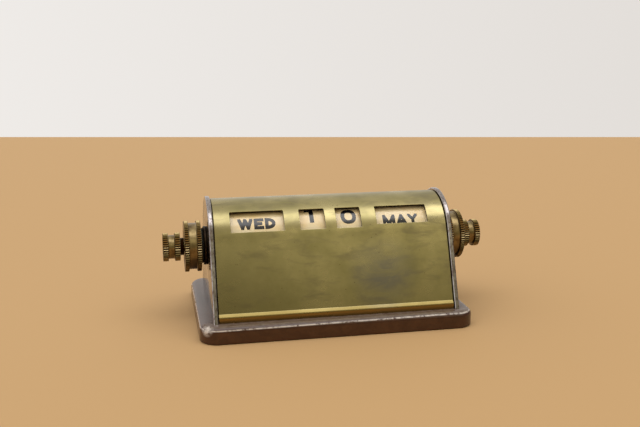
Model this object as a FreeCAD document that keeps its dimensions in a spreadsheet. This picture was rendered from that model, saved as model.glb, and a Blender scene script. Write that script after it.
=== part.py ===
import FreeCAD, Part
import os
import Sketcher
from FreeCAD import Placement, Rotation, Vector

# Perpetual desk calendar.
# Four printed drums turn on one line behind a bent brass cover. Each end has
# two coaxial knobs: the large one turns the outer drum through a sleeve, and
# the small one turns the inner drum through a spindle inside that sleeve.
# X runs along the length, the windows face -Y, Z is up and Z = 0 is the table.
# Origin: centre of the base's underside.

# Driving sizes in millimetres, and angles in degrees
SIZES = {
    # Moulded base, which reaches a little past both end plates
    "base_overhang": 6.45,
    "base_depth": 84.0,
    "base_thickness": 8.0,
    "base_corner_radius": 8.5,
    "base_top_round": 2.8,
    "base_bottom_bevel": 0.5,
    # Line of the knobs and the arch that follows it
    "axis_height": 36.2,
    "plate_span": 117.7,
    "plate_thickness": 2.2,
    "plate_crown_radius": 24.0,
    "plate_edge_bevel": 0.3,
    "side_lean": 21.5,
    # Inward tabs on the feet of the end plates
    "tab_length": 11.0,
    "tab_width": 12.0,
    "tab_offset": 15.0,
    # Bent sheet cover between the end plates
    "cover_sheet": 0.8,
    "cover_inset": 1.2,
    "cover_end_gap": 0.4,
    "flange_width": 9.0,
    "lip_height": 3.9,
    "lip_kick_height": 1.3,
    "lip_proud": 1.0,
    "lip_round": 0.5,
    "cover_screw_spacing": 72.0,
    # Windows in the cover
    "window_elevation": 41.5,
    "window_sweep": 28.0,
    "month_window_rise": 2.8,
    "window_row_shift": -0.6,
    "word_window_width": 25.5,
    "word_window_offset": 35.2,
    "digit_window_width": 12.2,
    "digit_window_offset": 8.8,
    # Printed drums
    "window_to_band_gap": 1.8,
    "band_thickness": 0.3,
    "band_margin": 0.3,
    "digit_drum_length": 16.2,
    "drum_side_gap": 0.8,
    # Sleeves, spindles and their fits
    "spindle_diameter": 4.8,
    "spindle_end_gap": 0.2,
    "sleeve_diameter": 7.6,
    "running_clearance": 0.06,
    "fit_clearance": 0.01,
    "face_clearance": 0.05,
    # Bearing bush and ring nut in each end plate
    "bush_diameter": 11.6,
    "bush_flange_diameter": 15.0,
    "bush_flange_thickness": 1.0,
    "ring_nut_diameter": 18.8,
    "ring_nut_thickness": 1.5,
    "washer_diameter": 17.0,
    # Centre bracket and its bush
    "bracket_thickness": 1.6,
    "bracket_head_radius": 8.0,
    "bracket_lean": 14.0,
    "bracket_foot_length": 11.0,
    "bracket_screw_spacing": 20.0,
    "centre_bush_diameter": 9.0,
    "centre_bush_length": 6.4,
    "recess_clearance": 0.5,
    # Large knobs
    "large_knob_gap": 2.75,
    "large_knob_diameter": 24.7,
    "large_knob_length": 8.0,
    "large_disc_width": 2.1,
    "large_barrel_diameter": 22.4,
    "large_knob_end_wall": 1.0,
    "large_knob_teeth": 65,
    # Small knobs
    "small_knob_gap": 1.9,
    "small_knob_diameter": 13.7,
    "small_knob_length": 8.3,
    "small_disc_width": 2.65,
    "small_barrel_diameter": 11.4,
    "small_boss_diameter": 8.4,
    "small_knob_end_wall": 2.2,
    "small_knob_teeth": 36,
    # Straight knurling: V grooves that leave sharp crests
    "knurl_depth": 0.52,
    # Screws up through the base, with nuts above
    "screw_diameter": 2.9,
    "screw_hole_clearance": 0.15,
    "screw_head_diameter": 5.4,
    "screw_head_height": 1.9,
    "screw_slot_width": 0.8,
    "screw_slot_depth": 0.9,
    "screw_tip_above_base": 5.0,
    "counterbore_depth": 2.6,
    "counterbore_diameter": 6.2,
    "nut_across_corners": 6.2,
    "nut_thickness": 2.2,
}

# Two lengths that differ by less than this are taken as equal
ROUNDING = 1e-4

doc = FreeCAD.newDocument("DeskCalendar")
sheet = doc.addObject("Spreadsheet::Sheet", "Sizes")
for row, (alias, value) in enumerate(SIZES.items(), start=1):
    sheet.set(f"A{row}", alias)
    sheet.set(f"B{row}", str(value))
    sheet.setAlias(f"B{row}", alias)
doc.recompute()

# Places that several pieces share, written once from the sizes
PLATE_OUTER = "(Sizes.plate_span / 2)"
PLATE_INNER = f"({PLATE_OUTER} - Sizes.plate_thickness)"
COVER_END = f"({PLATE_INNER} - Sizes.cover_end_gap)"
COVER_OUTER = "(Sizes.plate_crown_radius - Sizes.cover_inset)"
COVER_INNER = f"({COVER_OUTER} - Sizes.cover_sheet)"
BAND_OUTER = f"({COVER_INNER} - Sizes.window_to_band_gap)"
DRUM_RADIUS = f"({BAND_OUTER} - Sizes.band_thickness)"
FLOOR = "(Sizes.base_thickness - Sizes.axis_height)"
DIGIT_DRUM_START = "(Sizes.bracket_thickness / 2 + Sizes.drum_side_gap)"
DIGIT_DRUM_END = f"({DIGIT_DRUM_START} + Sizes.digit_drum_length)"
WORD_DRUM_START = f"({DIGIT_DRUM_END} + Sizes.drum_side_gap)"
BUSH_FACE = f"({PLATE_INNER} - Sizes.bush_flange_thickness)"
WORD_DRUM_END = f"({BUSH_FACE} - Sizes.drum_side_gap)"
RING_NUT_FACE = f"({PLATE_OUTER} + Sizes.ring_nut_thickness)"
LARGE_KNOB_START = f"({PLATE_OUTER} + Sizes.large_knob_gap)"
LARGE_KNOB_END = f"({LARGE_KNOB_START} + Sizes.large_knob_length)"
SLEEVE_END = f"({LARGE_KNOB_END} - Sizes.large_knob_end_wall)"
SMALL_KNOB_START = f"({LARGE_KNOB_END} + Sizes.small_knob_gap)"
SMALL_KNOB_END = f"({SMALL_KNOB_START} + Sizes.small_knob_length)"
SPINDLE_END = f"({SMALL_KNOB_END} - Sizes.small_knob_end_wall)"
SPINDLE_RADIUS = "(Sizes.spindle_diameter / 2)"
SLEEVE_RADIUS = "(Sizes.sleeve_diameter / 2)"
SLEEVE_BORE = f"({SPINDLE_RADIUS} + Sizes.running_clearance)"
ON_SPINDLE = f"({SPINDLE_RADIUS} + Sizes.fit_clearance)"
ON_SLEEVE = f"({SLEEVE_RADIUS} + Sizes.fit_clearance)"
SCREW_HOLE = "(Sizes.screw_diameter / 2 + Sizes.screw_hole_clearance)"

# Screw places: end plate tabs, cover flanges and the foot of the centre bracket
TAB_X = f"({PLATE_INNER} - Sizes.tab_length / 2)"
TAB_Y = "Sizes.tab_offset"
FLANGE_X = "(Sizes.cover_screw_spacing / 2)"
FLANGE_HALF = f"(({COVER_INNER} - {FLOOR} * sin(Sizes.side_lean)) / cos(Sizes.side_lean))"
FLANGE_Y = f"({FLANGE_HALF} - Sizes.flange_width / 2)"
BRACKET_X = "((Sizes.bracket_foot_length + Sizes.bracket_thickness / 2) / 2)"
BRACKET_Y = "(Sizes.bracket_screw_spacing / 2)"


def number(expression):
    """Return the value that an expression has with the present sizes."""
    return float(sheet.evalExpression(expression))


def origin_part(body, role):
    """Return the body's own origin plane or axis that has this role."""
    return next(part for part in body.Origin.OriginFeatures if part.Role == role)


def new_body(label, on_axis=True, side="right"):
    """Add a body whose origin is on the line of the knobs or on the table.

    A body of the left side is turned half round, so that both sides share
    one description with its own X pointing outwards.
    """
    body = doc.addObject("PartDesign::Body", label)
    body.Label = label
    turn = 180.0 if side == "left" else 0.0
    body.Placement = Placement(Vector(0, 0, 0), Rotation(Vector(0, 0, 1), turn))
    if on_axis:
        body.setExpression("Placement.Base.z", "Sizes.axis_height")
    return body


def new_sketch(body, name, role, lift=None):
    """Add a sketch on one of the body's own origin planes, lifted if asked."""
    sketch = body.newObject("Sketcher::SketchObject", name)
    sketch.AttachmentSupport = [(origin_part(body, role), "")]
    sketch.MapMode = "FlatFace"
    if lift:
        sketch.setExpression("AttachmentOffset.Base.z", lift)
    return sketch


def bind(sketch, kind, where, expression):
    """Add one constraint and bind its value to the sizes."""
    value = number(expression)
    if kind == "Angle":
        value = FreeCAD.Units.Quantity(f"{value} deg").getValueAs("rad").Value
    index = sketch.addConstraint(Sketcher.Constraint(kind, *where, value))
    sketch.setExpression(f"Constraints[{index}]", expression)


def draw_polygon(sketch, corners):
    """Draw a closed outline through corners given as pairs of expressions.

    An edge whose ends share a coordinate is held level or upright, and every
    other corner is held by its distance from the sketch's origin.
    """
    first = sketch.GeometryCount
    points = [Vector(number(x), number(y), 0) for x, y in corners]
    count = len(points)
    for i in range(count):
        line = Part.LineSegment(points[i], points[(i + 1) % count])
        sketch.addGeometry(line, False)
    for i in range(count):
        after = first + (i + 1) % count
        sketch.addConstraint(Sketcher.Constraint("Coincident", first + i, 2, after, 1))
    bind(sketch, "DistanceX", (-1, 1, first, 1), corners[0][0])
    bind(sketch, "DistanceY", (-1, 1, first, 1), corners[0][1])
    for i in range(1, count):
        before, this = corners[i - 1], corners[i]
        if this[0] == before[0]:
            sketch.addConstraint(Sketcher.Constraint("Vertical", first + i - 1))
        else:
            bind(sketch, "DistanceX", (-1, 1, first + i, 1), this[0])
        if this[1] == before[1]:
            sketch.addConstraint(Sketcher.Constraint("Horizontal", first + i - 1))
        else:
            bind(sketch, "DistanceY", (-1, 1, first + i, 1), this[1])


def draw_box(sketch, left, right, low, high):
    """Draw a rectangle between four expressions."""
    draw_polygon(sketch, [(left, low), (right, low), (right, high), (left, high)])


def draw_circle(sketch, x, y, radius):
    """Draw a circle whose centre and radius are expressions."""
    index = sketch.GeometryCount
    centre = Vector(number(x), number(y), 0)
    circle = Part.Circle(centre, Vector(0, 0, 1), number(radius))
    sketch.addGeometry(circle, False)
    bind(sketch, "DistanceX", (-1, 1, index, 3), x)
    bind(sketch, "DistanceY", (-1, 1, index, 3), y)
    bind(sketch, "Radius", (index,), radius)


def draw_arch(sketch, radius, lean):
    """Draw the arch outline: a crown about the axis, and straight sides.

    The sides leave the crown in tangent and lean outwards down to the top of
    the base, so arches of different radius stay parallel to each other.
    """
    r, tilt, floor = number(radius), number(lean), number(FLOOR)
    foot = number(f"({radius} - {FLOOR} * sin({lean})) / cos({lean})")
    start = Rotation(Vector(0, 0, 1), tilt).multVec(Vector(r, 0, 0))
    finish = Vector(-start.x, start.y, 0)
    top = Vector(0, r, 0)
    front, back = Vector(-foot, floor, 0), Vector(foot, floor, 0)
    sketch.addGeometry(Part.LineSegment(front, back), False)
    sketch.addGeometry(Part.LineSegment(back, start), False)
    sketch.addGeometry(Part.ArcOfCircle(start, top, finish), False)
    sketch.addGeometry(Part.LineSegment(finish, front), False)
    sketch.addConstraint(Sketcher.Constraint("Coincident", 0, 2, 1, 1))
    sketch.addConstraint(Sketcher.Constraint("Tangent", 1, 2, 2, 1))
    sketch.addConstraint(Sketcher.Constraint("Tangent", 2, 2, 3, 1))
    sketch.addConstraint(Sketcher.Constraint("Coincident", 3, 2, 0, 1))
    sketch.addConstraint(Sketcher.Constraint("Coincident", 2, 3, -1, 1))
    sketch.addConstraint(Sketcher.Constraint("Symmetric", 0, 1, 0, 2, -2))
    bind(sketch, "DistanceY", (-1, 1, 0, 1), FLOOR)
    bind(sketch, "Radius", (2,), radius)
    bind(sketch, "Angle", (1,), f"90 + {lean}")


def add_pad(body, name, sketch, length, symmetric=False, reverse=False):
    """Raise a sketch into a solid."""
    pad = body.newObject("PartDesign::Pad", name)
    pad.Profile = sketch
    pad.SideType = "Symmetric" if symmetric else "One side"
    pad.Reversed = reverse
    pad.setExpression("Length", length)
    doc.recompute()
    return pad


def add_cut(body, name, sketch, symmetric=False, reverse=False, depth=None):
    """Cut a sketch through the body, or to a depth, and prove that it cuts."""
    before = body.Shape.Volume
    pocket = body.newObject("PartDesign::Pocket", name)
    pocket.Profile = sketch
    pocket.SideType = "Symmetric" if symmetric else "One side"
    pocket.Reversed = reverse
    if depth:
        pocket.setExpression("Length", depth)
    else:
        pocket.Type = "ThroughAll"
    doc.recompute()
    prove_smaller(body, name, before)
    return pocket


def add_turning(body, name, sketch):
    """Turn a half profile about the body's X axis."""
    turned = body.newObject("PartDesign::Revolution", name)
    turned.Profile = sketch
    turned.ReferenceAxis = (sketch, ["H_Axis"])
    turned.Angle = 360.0
    doc.recompute()
    return turned


def add_fillet(body, name, radius, chosen):
    """Round the edges of the present tip that the test chooses."""
    base = body.Tip
    edges = base.Shape.Edges
    names = [f"Edge{i}" for i, edge in enumerate(edges, start=1) if chosen(edge)]
    fillet = body.newObject("PartDesign::Fillet", name)
    fillet.Base = (base, names)
    fillet.setExpression("Radius", radius)
    doc.recompute()
    return fillet


def add_chamfer(body, name, size, chosen):
    """Bevel the edges of the present tip that the test chooses."""
    base = body.Tip
    edges = base.Shape.Edges
    names = [f"Edge{i}" for i, edge in enumerate(edges, start=1) if chosen(edge)]
    chamfer = body.newObject("PartDesign::Chamfer", name)
    chamfer.Base = (base, names)
    chamfer.setExpression("Size", size)
    doc.recompute()
    return chamfer


def prove_smaller(body, name, before):
    """Stop if a cut left the body's volume as it was."""
    if body.Shape.Volume > before - 0.001:
        raise RuntimeError(f"{body.Label}: {name} cuts nothing")


def same(value, other):
    """Tell whether two lengths are equal, but for rounding."""
    return abs(value - other) < ROUNDING


def level(edge, height):
    """Tell whether an edge lies in a horizontal plane at this height."""
    box = edge.BoundBox
    return same(box.ZMin, height) and same(box.ZMax, height)


def upright(edge):
    """Tell whether an edge is vertical."""
    box = edge.BoundBox
    return same(box.XLength, 0) and same(box.YLength, 0) and not same(box.ZLength, 0)


def crosswise(edge, place):
    """Tell whether an edge lies in the plane across X at this place."""
    box = edge.BoundBox
    return same(box.XMin, place) and same(box.XMax, place)


def turned_piece(label, side, profile):
    """Make a piece that is a single turning about the line of the knobs."""
    body = new_body(label, side=side)
    sketch = new_sketch(body, f"{label}_profile", "XZ_Plane")
    draw_polygon(sketch, profile)
    add_turning(body, f"{label}_turning", sketch)
    return body


def tube(inner, outer, start, end):
    """Give the half profile of a plain tube."""
    return [(start, inner), (end, inner), (end, outer), (start, outer)]


def screw_places():
    """Give the place of every screw in the base, as pairs of expressions."""
    places = []
    for x in (TAB_X, f"(-{TAB_X})"):
        places += [(x, TAB_Y), (x, f"(-{TAB_Y})")]
    for x in (FLANGE_X, f"(-{FLANGE_X})"):
        places += [(x, FLANGE_Y), (x, f"(-{FLANGE_Y})")]
    places += [(BRACKET_X, BRACKET_Y), (BRACKET_X, f"(-{BRACKET_Y})")]
    return places


def make_base():
    """Moulded slab with rounded corners and counterbored screw holes."""
    body = new_body("base", on_axis=False)
    slab = new_sketch(body, "base_outline", "XY_Plane")
    half_x, half_y = f"({PLATE_OUTER} + Sizes.base_overhang)", "Sizes.base_depth / 2"
    draw_box(slab, f"-{half_x}", half_x, f"-{half_y}", half_y)
    add_pad(body, "base_slab", slab, "Sizes.base_thickness")
    add_fillet(body, "base_corners", "Sizes.base_corner_radius", upright)
    top = number("Sizes.base_thickness")
    add_fillet(body, "base_top_edge", "Sizes.base_top_round", lambda e: level(e, top))
    add_chamfer(body, "base_low_edge", "Sizes.base_bottom_bevel", lambda e: level(e, 0))
    centres = new_sketch(body, "base_screw_centres", "XY_Plane")
    for x, y in screw_places():
        draw_circle(centres, x, y, SCREW_HOLE)
    doc.recompute()
    before = body.Shape.Volume
    holes = body.newObject("PartDesign::Hole", "base_screw_holes")
    holes.Profile = centres
    holes.Reversed = True
    holes.DepthType = "ThroughAll"
    holes.HoleCutType = "Counterbore"
    holes.HoleCutCustomValues = True
    holes.setExpression("Diameter", f"2 * {SCREW_HOLE}")
    holes.setExpression("HoleCutDiameter", "Sizes.counterbore_diameter")
    holes.setExpression("HoleCutDepth", "Sizes.counterbore_depth")
    doc.recompute()
    prove_smaller(body, "base_screw_holes", before)
    return body


def make_end_plate(side):
    """Pressed end plate with a bearing hole and two tabs turned inwards."""
    label = f"end_plate_{side}"
    body = new_body(label, side=side)
    outline = new_sketch(body, f"{label}_outline", "YZ_Plane", PLATE_INNER)
    draw_arch(outline, "Sizes.plate_crown_radius", "Sizes.side_lean")
    add_pad(body, f"{label}_sheet", outline, "Sizes.plate_thickness")
    faces = (number(PLATE_INNER), number(PLATE_OUTER))
    floor = number(FLOOR)

    def rim(edge):
        across = crosswise(edge, faces[0]) or crosswise(edge, faces[1])
        return across and not level(edge, floor)

    add_chamfer(body, f"{label}_rim", "Sizes.plate_edge_bevel", rim)
    hole = new_sketch(body, f"{label}_hole", "YZ_Plane")
    draw_circle(hole, "0", "0", "Sizes.bush_diameter / 2 + Sizes.fit_clearance")
    add_cut(body, f"{label}_bearing_hole", hole, reverse=True)
    tabs = new_sketch(body, f"{label}_tab_outline", "XY_Plane", FLOOR)
    inner = f"({PLATE_INNER} - Sizes.tab_length)"
    near = f"({TAB_Y} - Sizes.tab_width / 2)"
    far = f"({TAB_Y} + Sizes.tab_width / 2)"
    draw_box(tabs, inner, PLATE_INNER, near, far)
    draw_box(tabs, inner, PLATE_INNER, f"(-{far})", f"(-{near})")
    add_pad(body, f"{label}_tabs", tabs, "Sizes.plate_thickness")
    holes = new_sketch(body, f"{label}_screw_centres", "XY_Plane", FLOOR)
    draw_circle(holes, TAB_X, TAB_Y, SCREW_HOLE)
    draw_circle(holes, TAB_X, f"(-{TAB_Y})", SCREW_HOLE)
    add_cut(body, f"{label}_screw_holes", holes, reverse=True)
    return body


def make_cover():
    """Sheet bent over the drums, with a proud lip along each long foot."""
    body = new_body("cover")
    outer = new_sketch(body, "cover_outside", "YZ_Plane")
    draw_arch(outer, COVER_OUTER, "Sizes.side_lean")
    add_pad(body, "cover_arch", outer, f"2 * {COVER_END}", symmetric=True)
    inner = new_sketch(body, "cover_inside", "YZ_Plane")
    draw_arch(inner, COVER_INNER, "Sizes.side_lean")
    add_cut(body, "cover_hollow", inner, symmetric=True)

    def side_at(radius, z):
        slope = f"({radius} - {z} * sin(Sizes.side_lean)) / cos(Sizes.side_lean)"
        return f"(-({slope}))"

    lip_top = f"({FLOOR} + Sizes.lip_height)"
    nose_top = f"({lip_top} - Sizes.lip_kick_height)"
    nose = f"({side_at(COVER_OUTER, nose_top)} - Sizes.lip_proud)"
    flange_top = f"({FLOOR} + Sizes.cover_sheet)"
    flange_edge = f"(Sizes.flange_width - {FLANGE_HALF})"
    lip = new_sketch(body, "cover_lip_section", "YZ_Plane")
    section = [
        (side_at(COVER_OUTER, lip_top), lip_top),
        (nose, nose_top),
        (nose, FLOOR),
        (flange_edge, FLOOR),
        (flange_edge, flange_top),
        (side_at(COVER_INNER, flange_top), flange_top),
        (side_at(COVER_INNER, lip_top), lip_top),
    ]
    draw_polygon(lip, section)
    front = add_pad(body, "cover_lip", lip, f"2 * {COVER_END}", symmetric=True)
    back = body.newObject("PartDesign::Mirrored", "cover_back_lip")
    back.Originals = [front]
    back.MirrorPlane = (origin_part(body, "XZ_Plane"), [""])
    body.Tip = back
    doc.recompute()
    nose_y, nose_z = abs(number(nose)), number(nose_top)

    def nose_edge(edge):
        # The tip's own shape carries the body's height above the table
        middle = edge.BoundBox.Center
        return same(abs(middle.y), nose_y) and same(middle.z, nose_z)

    add_fillet(body, "cover_lip_round", "Sizes.lip_round", nose_edge)
    cut_windows(body)
    holes = new_sketch(body, "cover_screw_centres", "XY_Plane", FLOOR)
    for x in (FLANGE_X, f"(-{FLANGE_X})"):
        draw_circle(holes, x, FLANGE_Y, SCREW_HOLE)
        draw_circle(holes, x, f"(-{FLANGE_Y})", SCREW_HOLE)
    add_cut(body, "cover_screw_holes", holes, reverse=True, depth="2 * Sizes.cover_sheet")
    return body


def cut_windows(body):
    """Cut the four windows, of which the month's has the higher sill."""
    elevation, sweep = "Sizes.window_elevation", "Sizes.window_sweep"
    row = [("word", "-"), ("digit", "-"), ("digit", "")]
    cut_window_row(body, "windows", row, elevation, sweep)
    rise = "Sizes.month_window_rise"
    elevation, sweep = f"({elevation} + {rise} / 2)", f"({sweep} - {rise})"
    cut_window_row(body, "month_window", [("word", "")], elevation, sweep)


def cut_window_row(body, name, windows, elevation, sweep):
    """Cut windows square to the crown, by turning about its axis.

    Each window is given by its kind and by the sign of its side.
    """
    sketch = new_sketch(body, f"{name}_sections", "XZ_Plane")
    tilt = 90.0 - number(elevation)
    sketch.AttachmentOffset = Placement(Vector(0, 0, 0), Rotation(Vector(1, 0, 0), tilt))
    sketch.setExpression("AttachmentOffset.Rotation.Angle", f"90 - {elevation}")
    low = f"({COVER_INNER} - Sizes.cover_sheet)"
    high = f"({COVER_OUTER} + Sizes.cover_sheet)"
    for kind, sign in windows:
        middle = f"({sign}Sizes.{kind}_window_offset + Sizes.window_row_shift)"
        half = f"Sizes.{kind}_window_width / 2"
        draw_box(sketch, f"({middle} - {half})", f"({middle} + {half})", low, high)
    before = body.Shape.Volume
    groove = body.newObject("PartDesign::Groove", name)
    groove.Profile = sketch
    groove.ReferenceAxis = (sketch, ["H_Axis"])
    groove.Midplane = True
    groove.setExpression("Angle", sweep)
    doc.recompute()
    prove_smaller(body, name, before)


def make_centre_bracket():
    """Upright between the inner drums, with a foot turned along the base."""
    body = new_body("centre_bracket")
    outline = new_sketch(body, "bracket_outline", "YZ_Plane")
    draw_arch(outline, "Sizes.bracket_head_radius", "Sizes.bracket_lean")
    add_pad(body, "bracket_upright", outline, "Sizes.bracket_thickness", symmetric=True)
    foot = new_sketch(body, "bracket_foot_outline", "XY_Plane", FLOOR)
    lean = "Sizes.bracket_lean"
    half = f"((Sizes.bracket_head_radius - {FLOOR} * sin({lean})) / cos({lean}))"
    half = f"({half} - Sizes.bracket_thickness)"
    near, far = "Sizes.bracket_thickness / 2", "Sizes.bracket_foot_length"
    draw_box(foot, near, far, f"(-{half})", half)
    add_pad(body, "bracket_foot", foot, "Sizes.bracket_thickness")
    bore = new_sketch(body, "bracket_bore_outline", "YZ_Plane")
    radius = "Sizes.centre_bush_diameter / 2 + Sizes.fit_clearance"
    draw_circle(bore, "0", "0", radius)
    add_cut(body, "bracket_bore", bore, symmetric=True)
    holes = new_sketch(body, "bracket_screw_centres", "XY_Plane", FLOOR)
    draw_circle(holes, BRACKET_X, BRACKET_Y, SCREW_HOLE)
    draw_circle(holes, BRACKET_X, f"(-{BRACKET_Y})", SCREW_HOLE)
    add_cut(body, "bracket_screw_holes", holes, reverse=True)
    return body


def make_centre_bush():
    """Bush in the centre bracket that carries the ends of both spindles."""
    outer, half = "Sizes.centre_bush_diameter / 2", "(Sizes.centre_bush_length / 2)"
    profile = tube(SLEEVE_BORE, outer, f"(-{half})", half)
    return turned_piece("centre_bush", "right", profile)


def make_bearing(side):
    """Flanged bush in the end plate, and the ring nut that holds it there."""
    bore = f"({SLEEVE_RADIUS} + Sizes.running_clearance)"
    barrel = "(Sizes.bush_diameter / 2)"
    flange = "(Sizes.bush_flange_diameter / 2)"
    profile = [
        (BUSH_FACE, bore),
        (RING_NUT_FACE, bore),
        (RING_NUT_FACE, barrel),
        (PLATE_INNER, barrel),
        (PLATE_INNER, flange),
        (BUSH_FACE, flange),
    ]
    bush = turned_piece(f"bearing_bush_{side}", side, profile)
    thread = f"({barrel} + Sizes.fit_clearance)"
    rim = "(Sizes.ring_nut_diameter / 2)"
    ring = tube(thread, rim, PLATE_OUTER, RING_NUT_FACE)
    nut = turned_piece(f"ring_nut_{side}", side, ring)
    return [bush, nut]


def make_word_drive(word, side):
    """Outer drum with its printed band, sleeve, friction washer and knob."""
    drum = turned_piece(
        f"{word}_drum", side, tube(ON_SLEEVE, DRUM_RADIUS, WORD_DRUM_START, WORD_DRUM_END)
    )
    band = make_band(word, side, WORD_DRUM_START, WORD_DRUM_END)
    sleeve = turned_piece(
        f"{word}_sleeve", side, tube(SLEEVE_BORE, SLEEVE_RADIUS, WORD_DRUM_START, SLEEVE_END)
    )
    start = f"({RING_NUT_FACE} + Sizes.face_clearance)"
    washer = turned_piece(
        f"{word}_washer", side, tube(ON_SLEEVE, "(Sizes.washer_diameter / 2)", start, LARGE_KNOB_START)
    )
    knob = make_large_knob(f"{word}_knob", side)
    return [drum, band, sleeve, washer, knob]


def make_digit_drive(digit, side):
    """Inner drum with its printed band, spindle and small knob."""
    recess = "(Sizes.centre_bush_diameter / 2 + Sizes.recess_clearance)"
    floor = "(Sizes.centre_bush_length / 2 + Sizes.recess_clearance)"
    profile = [
        (DIGIT_DRUM_START, recess),
        (floor, recess),
        (floor, ON_SPINDLE),
        (DIGIT_DRUM_END, ON_SPINDLE),
        (DIGIT_DRUM_END, DRUM_RADIUS),
        (DIGIT_DRUM_START, DRUM_RADIUS),
    ]
    drum = turned_piece(f"{digit}_drum", side, profile)
    band = make_band(digit, side, DIGIT_DRUM_START, DIGIT_DRUM_END)
    rod = [
        ("Sizes.spindle_end_gap", "0"),
        (SPINDLE_END, "0"),
        (SPINDLE_END, SPINDLE_RADIUS),
        ("Sizes.spindle_end_gap", SPINDLE_RADIUS),
    ]
    spindle = turned_piece(f"{digit}_spindle", side, rod)
    knob = make_small_knob(f"{digit}_knob", side)
    return [drum, band, spindle, knob]


def make_band(name, side, start, end):
    """Printed paper band wrapped round a drum, a little short of its ends."""
    near, far = f"({start} + Sizes.band_margin)", f"({end} - Sizes.band_margin)"
    return turned_piece(f"{name}_band", side, tube(DRUM_RADIUS, BAND_OUTER, near, far))


def make_large_knob(label, side):
    """Spool knob: two knurled discs and a plain barrel, seated on a sleeve."""
    bore = f"({SPINDLE_RADIUS} + Sizes.running_clearance)"
    seat = SLEEVE_END
    rim, barrel = "(Sizes.large_knob_diameter / 2)", "(Sizes.large_barrel_diameter / 2)"
    profile = [
        (LARGE_KNOB_START, ON_SLEEVE),
        (seat, ON_SLEEVE),
        (seat, bore),
        (LARGE_KNOB_END, bore),
        (LARGE_KNOB_END, rim),
        (f"({LARGE_KNOB_END} - Sizes.large_disc_width)", rim),
        (f"({LARGE_KNOB_END} - Sizes.large_disc_width)", barrel),
        (f"({LARGE_KNOB_START} + Sizes.large_disc_width)", barrel),
        (f"({LARGE_KNOB_START} + Sizes.large_disc_width)", rim),
        (LARGE_KNOB_START, rim),
    ]
    body = turned_piece(label, side, profile)
    cut_knurling(body, rim, "Sizes.large_knob_teeth")
    return body


def make_small_knob(label, side):
    """Spool knob on the spindle, with a boss that reaches the large knob."""
    boss = "(Sizes.small_boss_diameter / 2)"
    boss_start = f"({LARGE_KNOB_END} + Sizes.face_clearance)"
    rim, barrel = "(Sizes.small_knob_diameter / 2)", "(Sizes.small_barrel_diameter / 2)"
    profile = [
        (boss_start, ON_SPINDLE),
        (SPINDLE_END, ON_SPINDLE),
        (SPINDLE_END, "0"),
        (SMALL_KNOB_END, "0"),
        (SMALL_KNOB_END, rim),
        (f"({SMALL_KNOB_END} - Sizes.small_disc_width)", rim),
        (f"({SMALL_KNOB_END} - Sizes.small_disc_width)", barrel),
        (f"({SMALL_KNOB_START} + Sizes.small_disc_width)", barrel),
        (f"({SMALL_KNOB_START} + Sizes.small_disc_width)", rim),
        (SMALL_KNOB_START, rim),
        (SMALL_KNOB_START, boss),
        (boss_start, boss),
    ]
    body = turned_piece(label, side, profile)
    cut_knurling(body, rim, "Sizes.small_knob_teeth")
    return body


def cut_knurling(body, rim, teeth):
    """Cut one V groove along both discs and repeat it round the knob."""
    sketch = new_sketch(body, f"{body.Label}_groove", "YZ_Plane")
    depth = "Sizes.knurl_depth"
    reach = f"(2 * {depth})"
    corners = [
        ("0", f"({rim} - {depth})"),
        (reach, f"({rim} + {depth})"),
        (f"(-{reach})", f"({rim} + {depth})"),
    ]
    draw_polygon(sketch, corners)
    groove = add_cut(body, f"{body.Label}_first_groove", sketch, reverse=True)
    knurling = body.newObject("PartDesign::PolarPattern", f"{body.Label}_knurling")
    knurling.Originals = [groove]
    knurling.Axis = (origin_part(body, "X_Axis"), [""])
    knurling.Angle = 360.0
    knurling.setExpression("Occurrences", teeth)
    body.Tip = knurling
    doc.recompute()


def place_by(piece, x, y, z):
    """Bind a primitive's place to the sizes."""
    piece.setExpression("Placement.Base.x", x)
    piece.setExpression("Placement.Base.y", y)
    piece.setExpression("Placement.Base.z", z)


def add_cylinder(name, radius, height, x, y, z):
    """Add an upright cylinder from expressions."""
    cylinder = doc.addObject("Part::Cylinder", name)
    cylinder.setExpression("Radius", radius)
    cylinder.setExpression("Height", height)
    place_by(cylinder, x, y, z)
    return cylinder


def make_screw(index, x, y):
    """Slotted cheese-head screw that comes up from a counterbore."""
    head_z = "(Sizes.counterbore_depth - Sizes.screw_head_height)"
    tip = "(Sizes.base_thickness + Sizes.screw_tip_above_base)"
    radius = "Sizes.screw_head_diameter / 2"
    head = add_cylinder(f"screw_head_{index}", radius, "Sizes.screw_head_height", x, y, head_z)
    length = f"({tip} - Sizes.counterbore_depth)"
    shank = add_cylinder(
        f"screw_shank_{index}", "Sizes.screw_diameter / 2", length, x, y, "Sizes.counterbore_depth"
    )
    blank = doc.addObject("Part::Fuse", f"screw_blank_{index}")
    blank.Base, blank.Tool = head, shank
    slot = doc.addObject("Part::Box", f"screw_slot_{index}")
    slot.setExpression("Length", "Sizes.screw_head_diameter")
    slot.setExpression("Width", "Sizes.screw_slot_width")
    slot.setExpression("Height", "Sizes.screw_slot_depth")
    place_by(slot, f"{x} - {radius}", f"{y} - Sizes.screw_slot_width / 2", head_z)
    screw = doc.addObject("Part::Cut", f"screw_{index}")
    screw.Base, screw.Tool = blank, slot
    return screw


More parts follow.
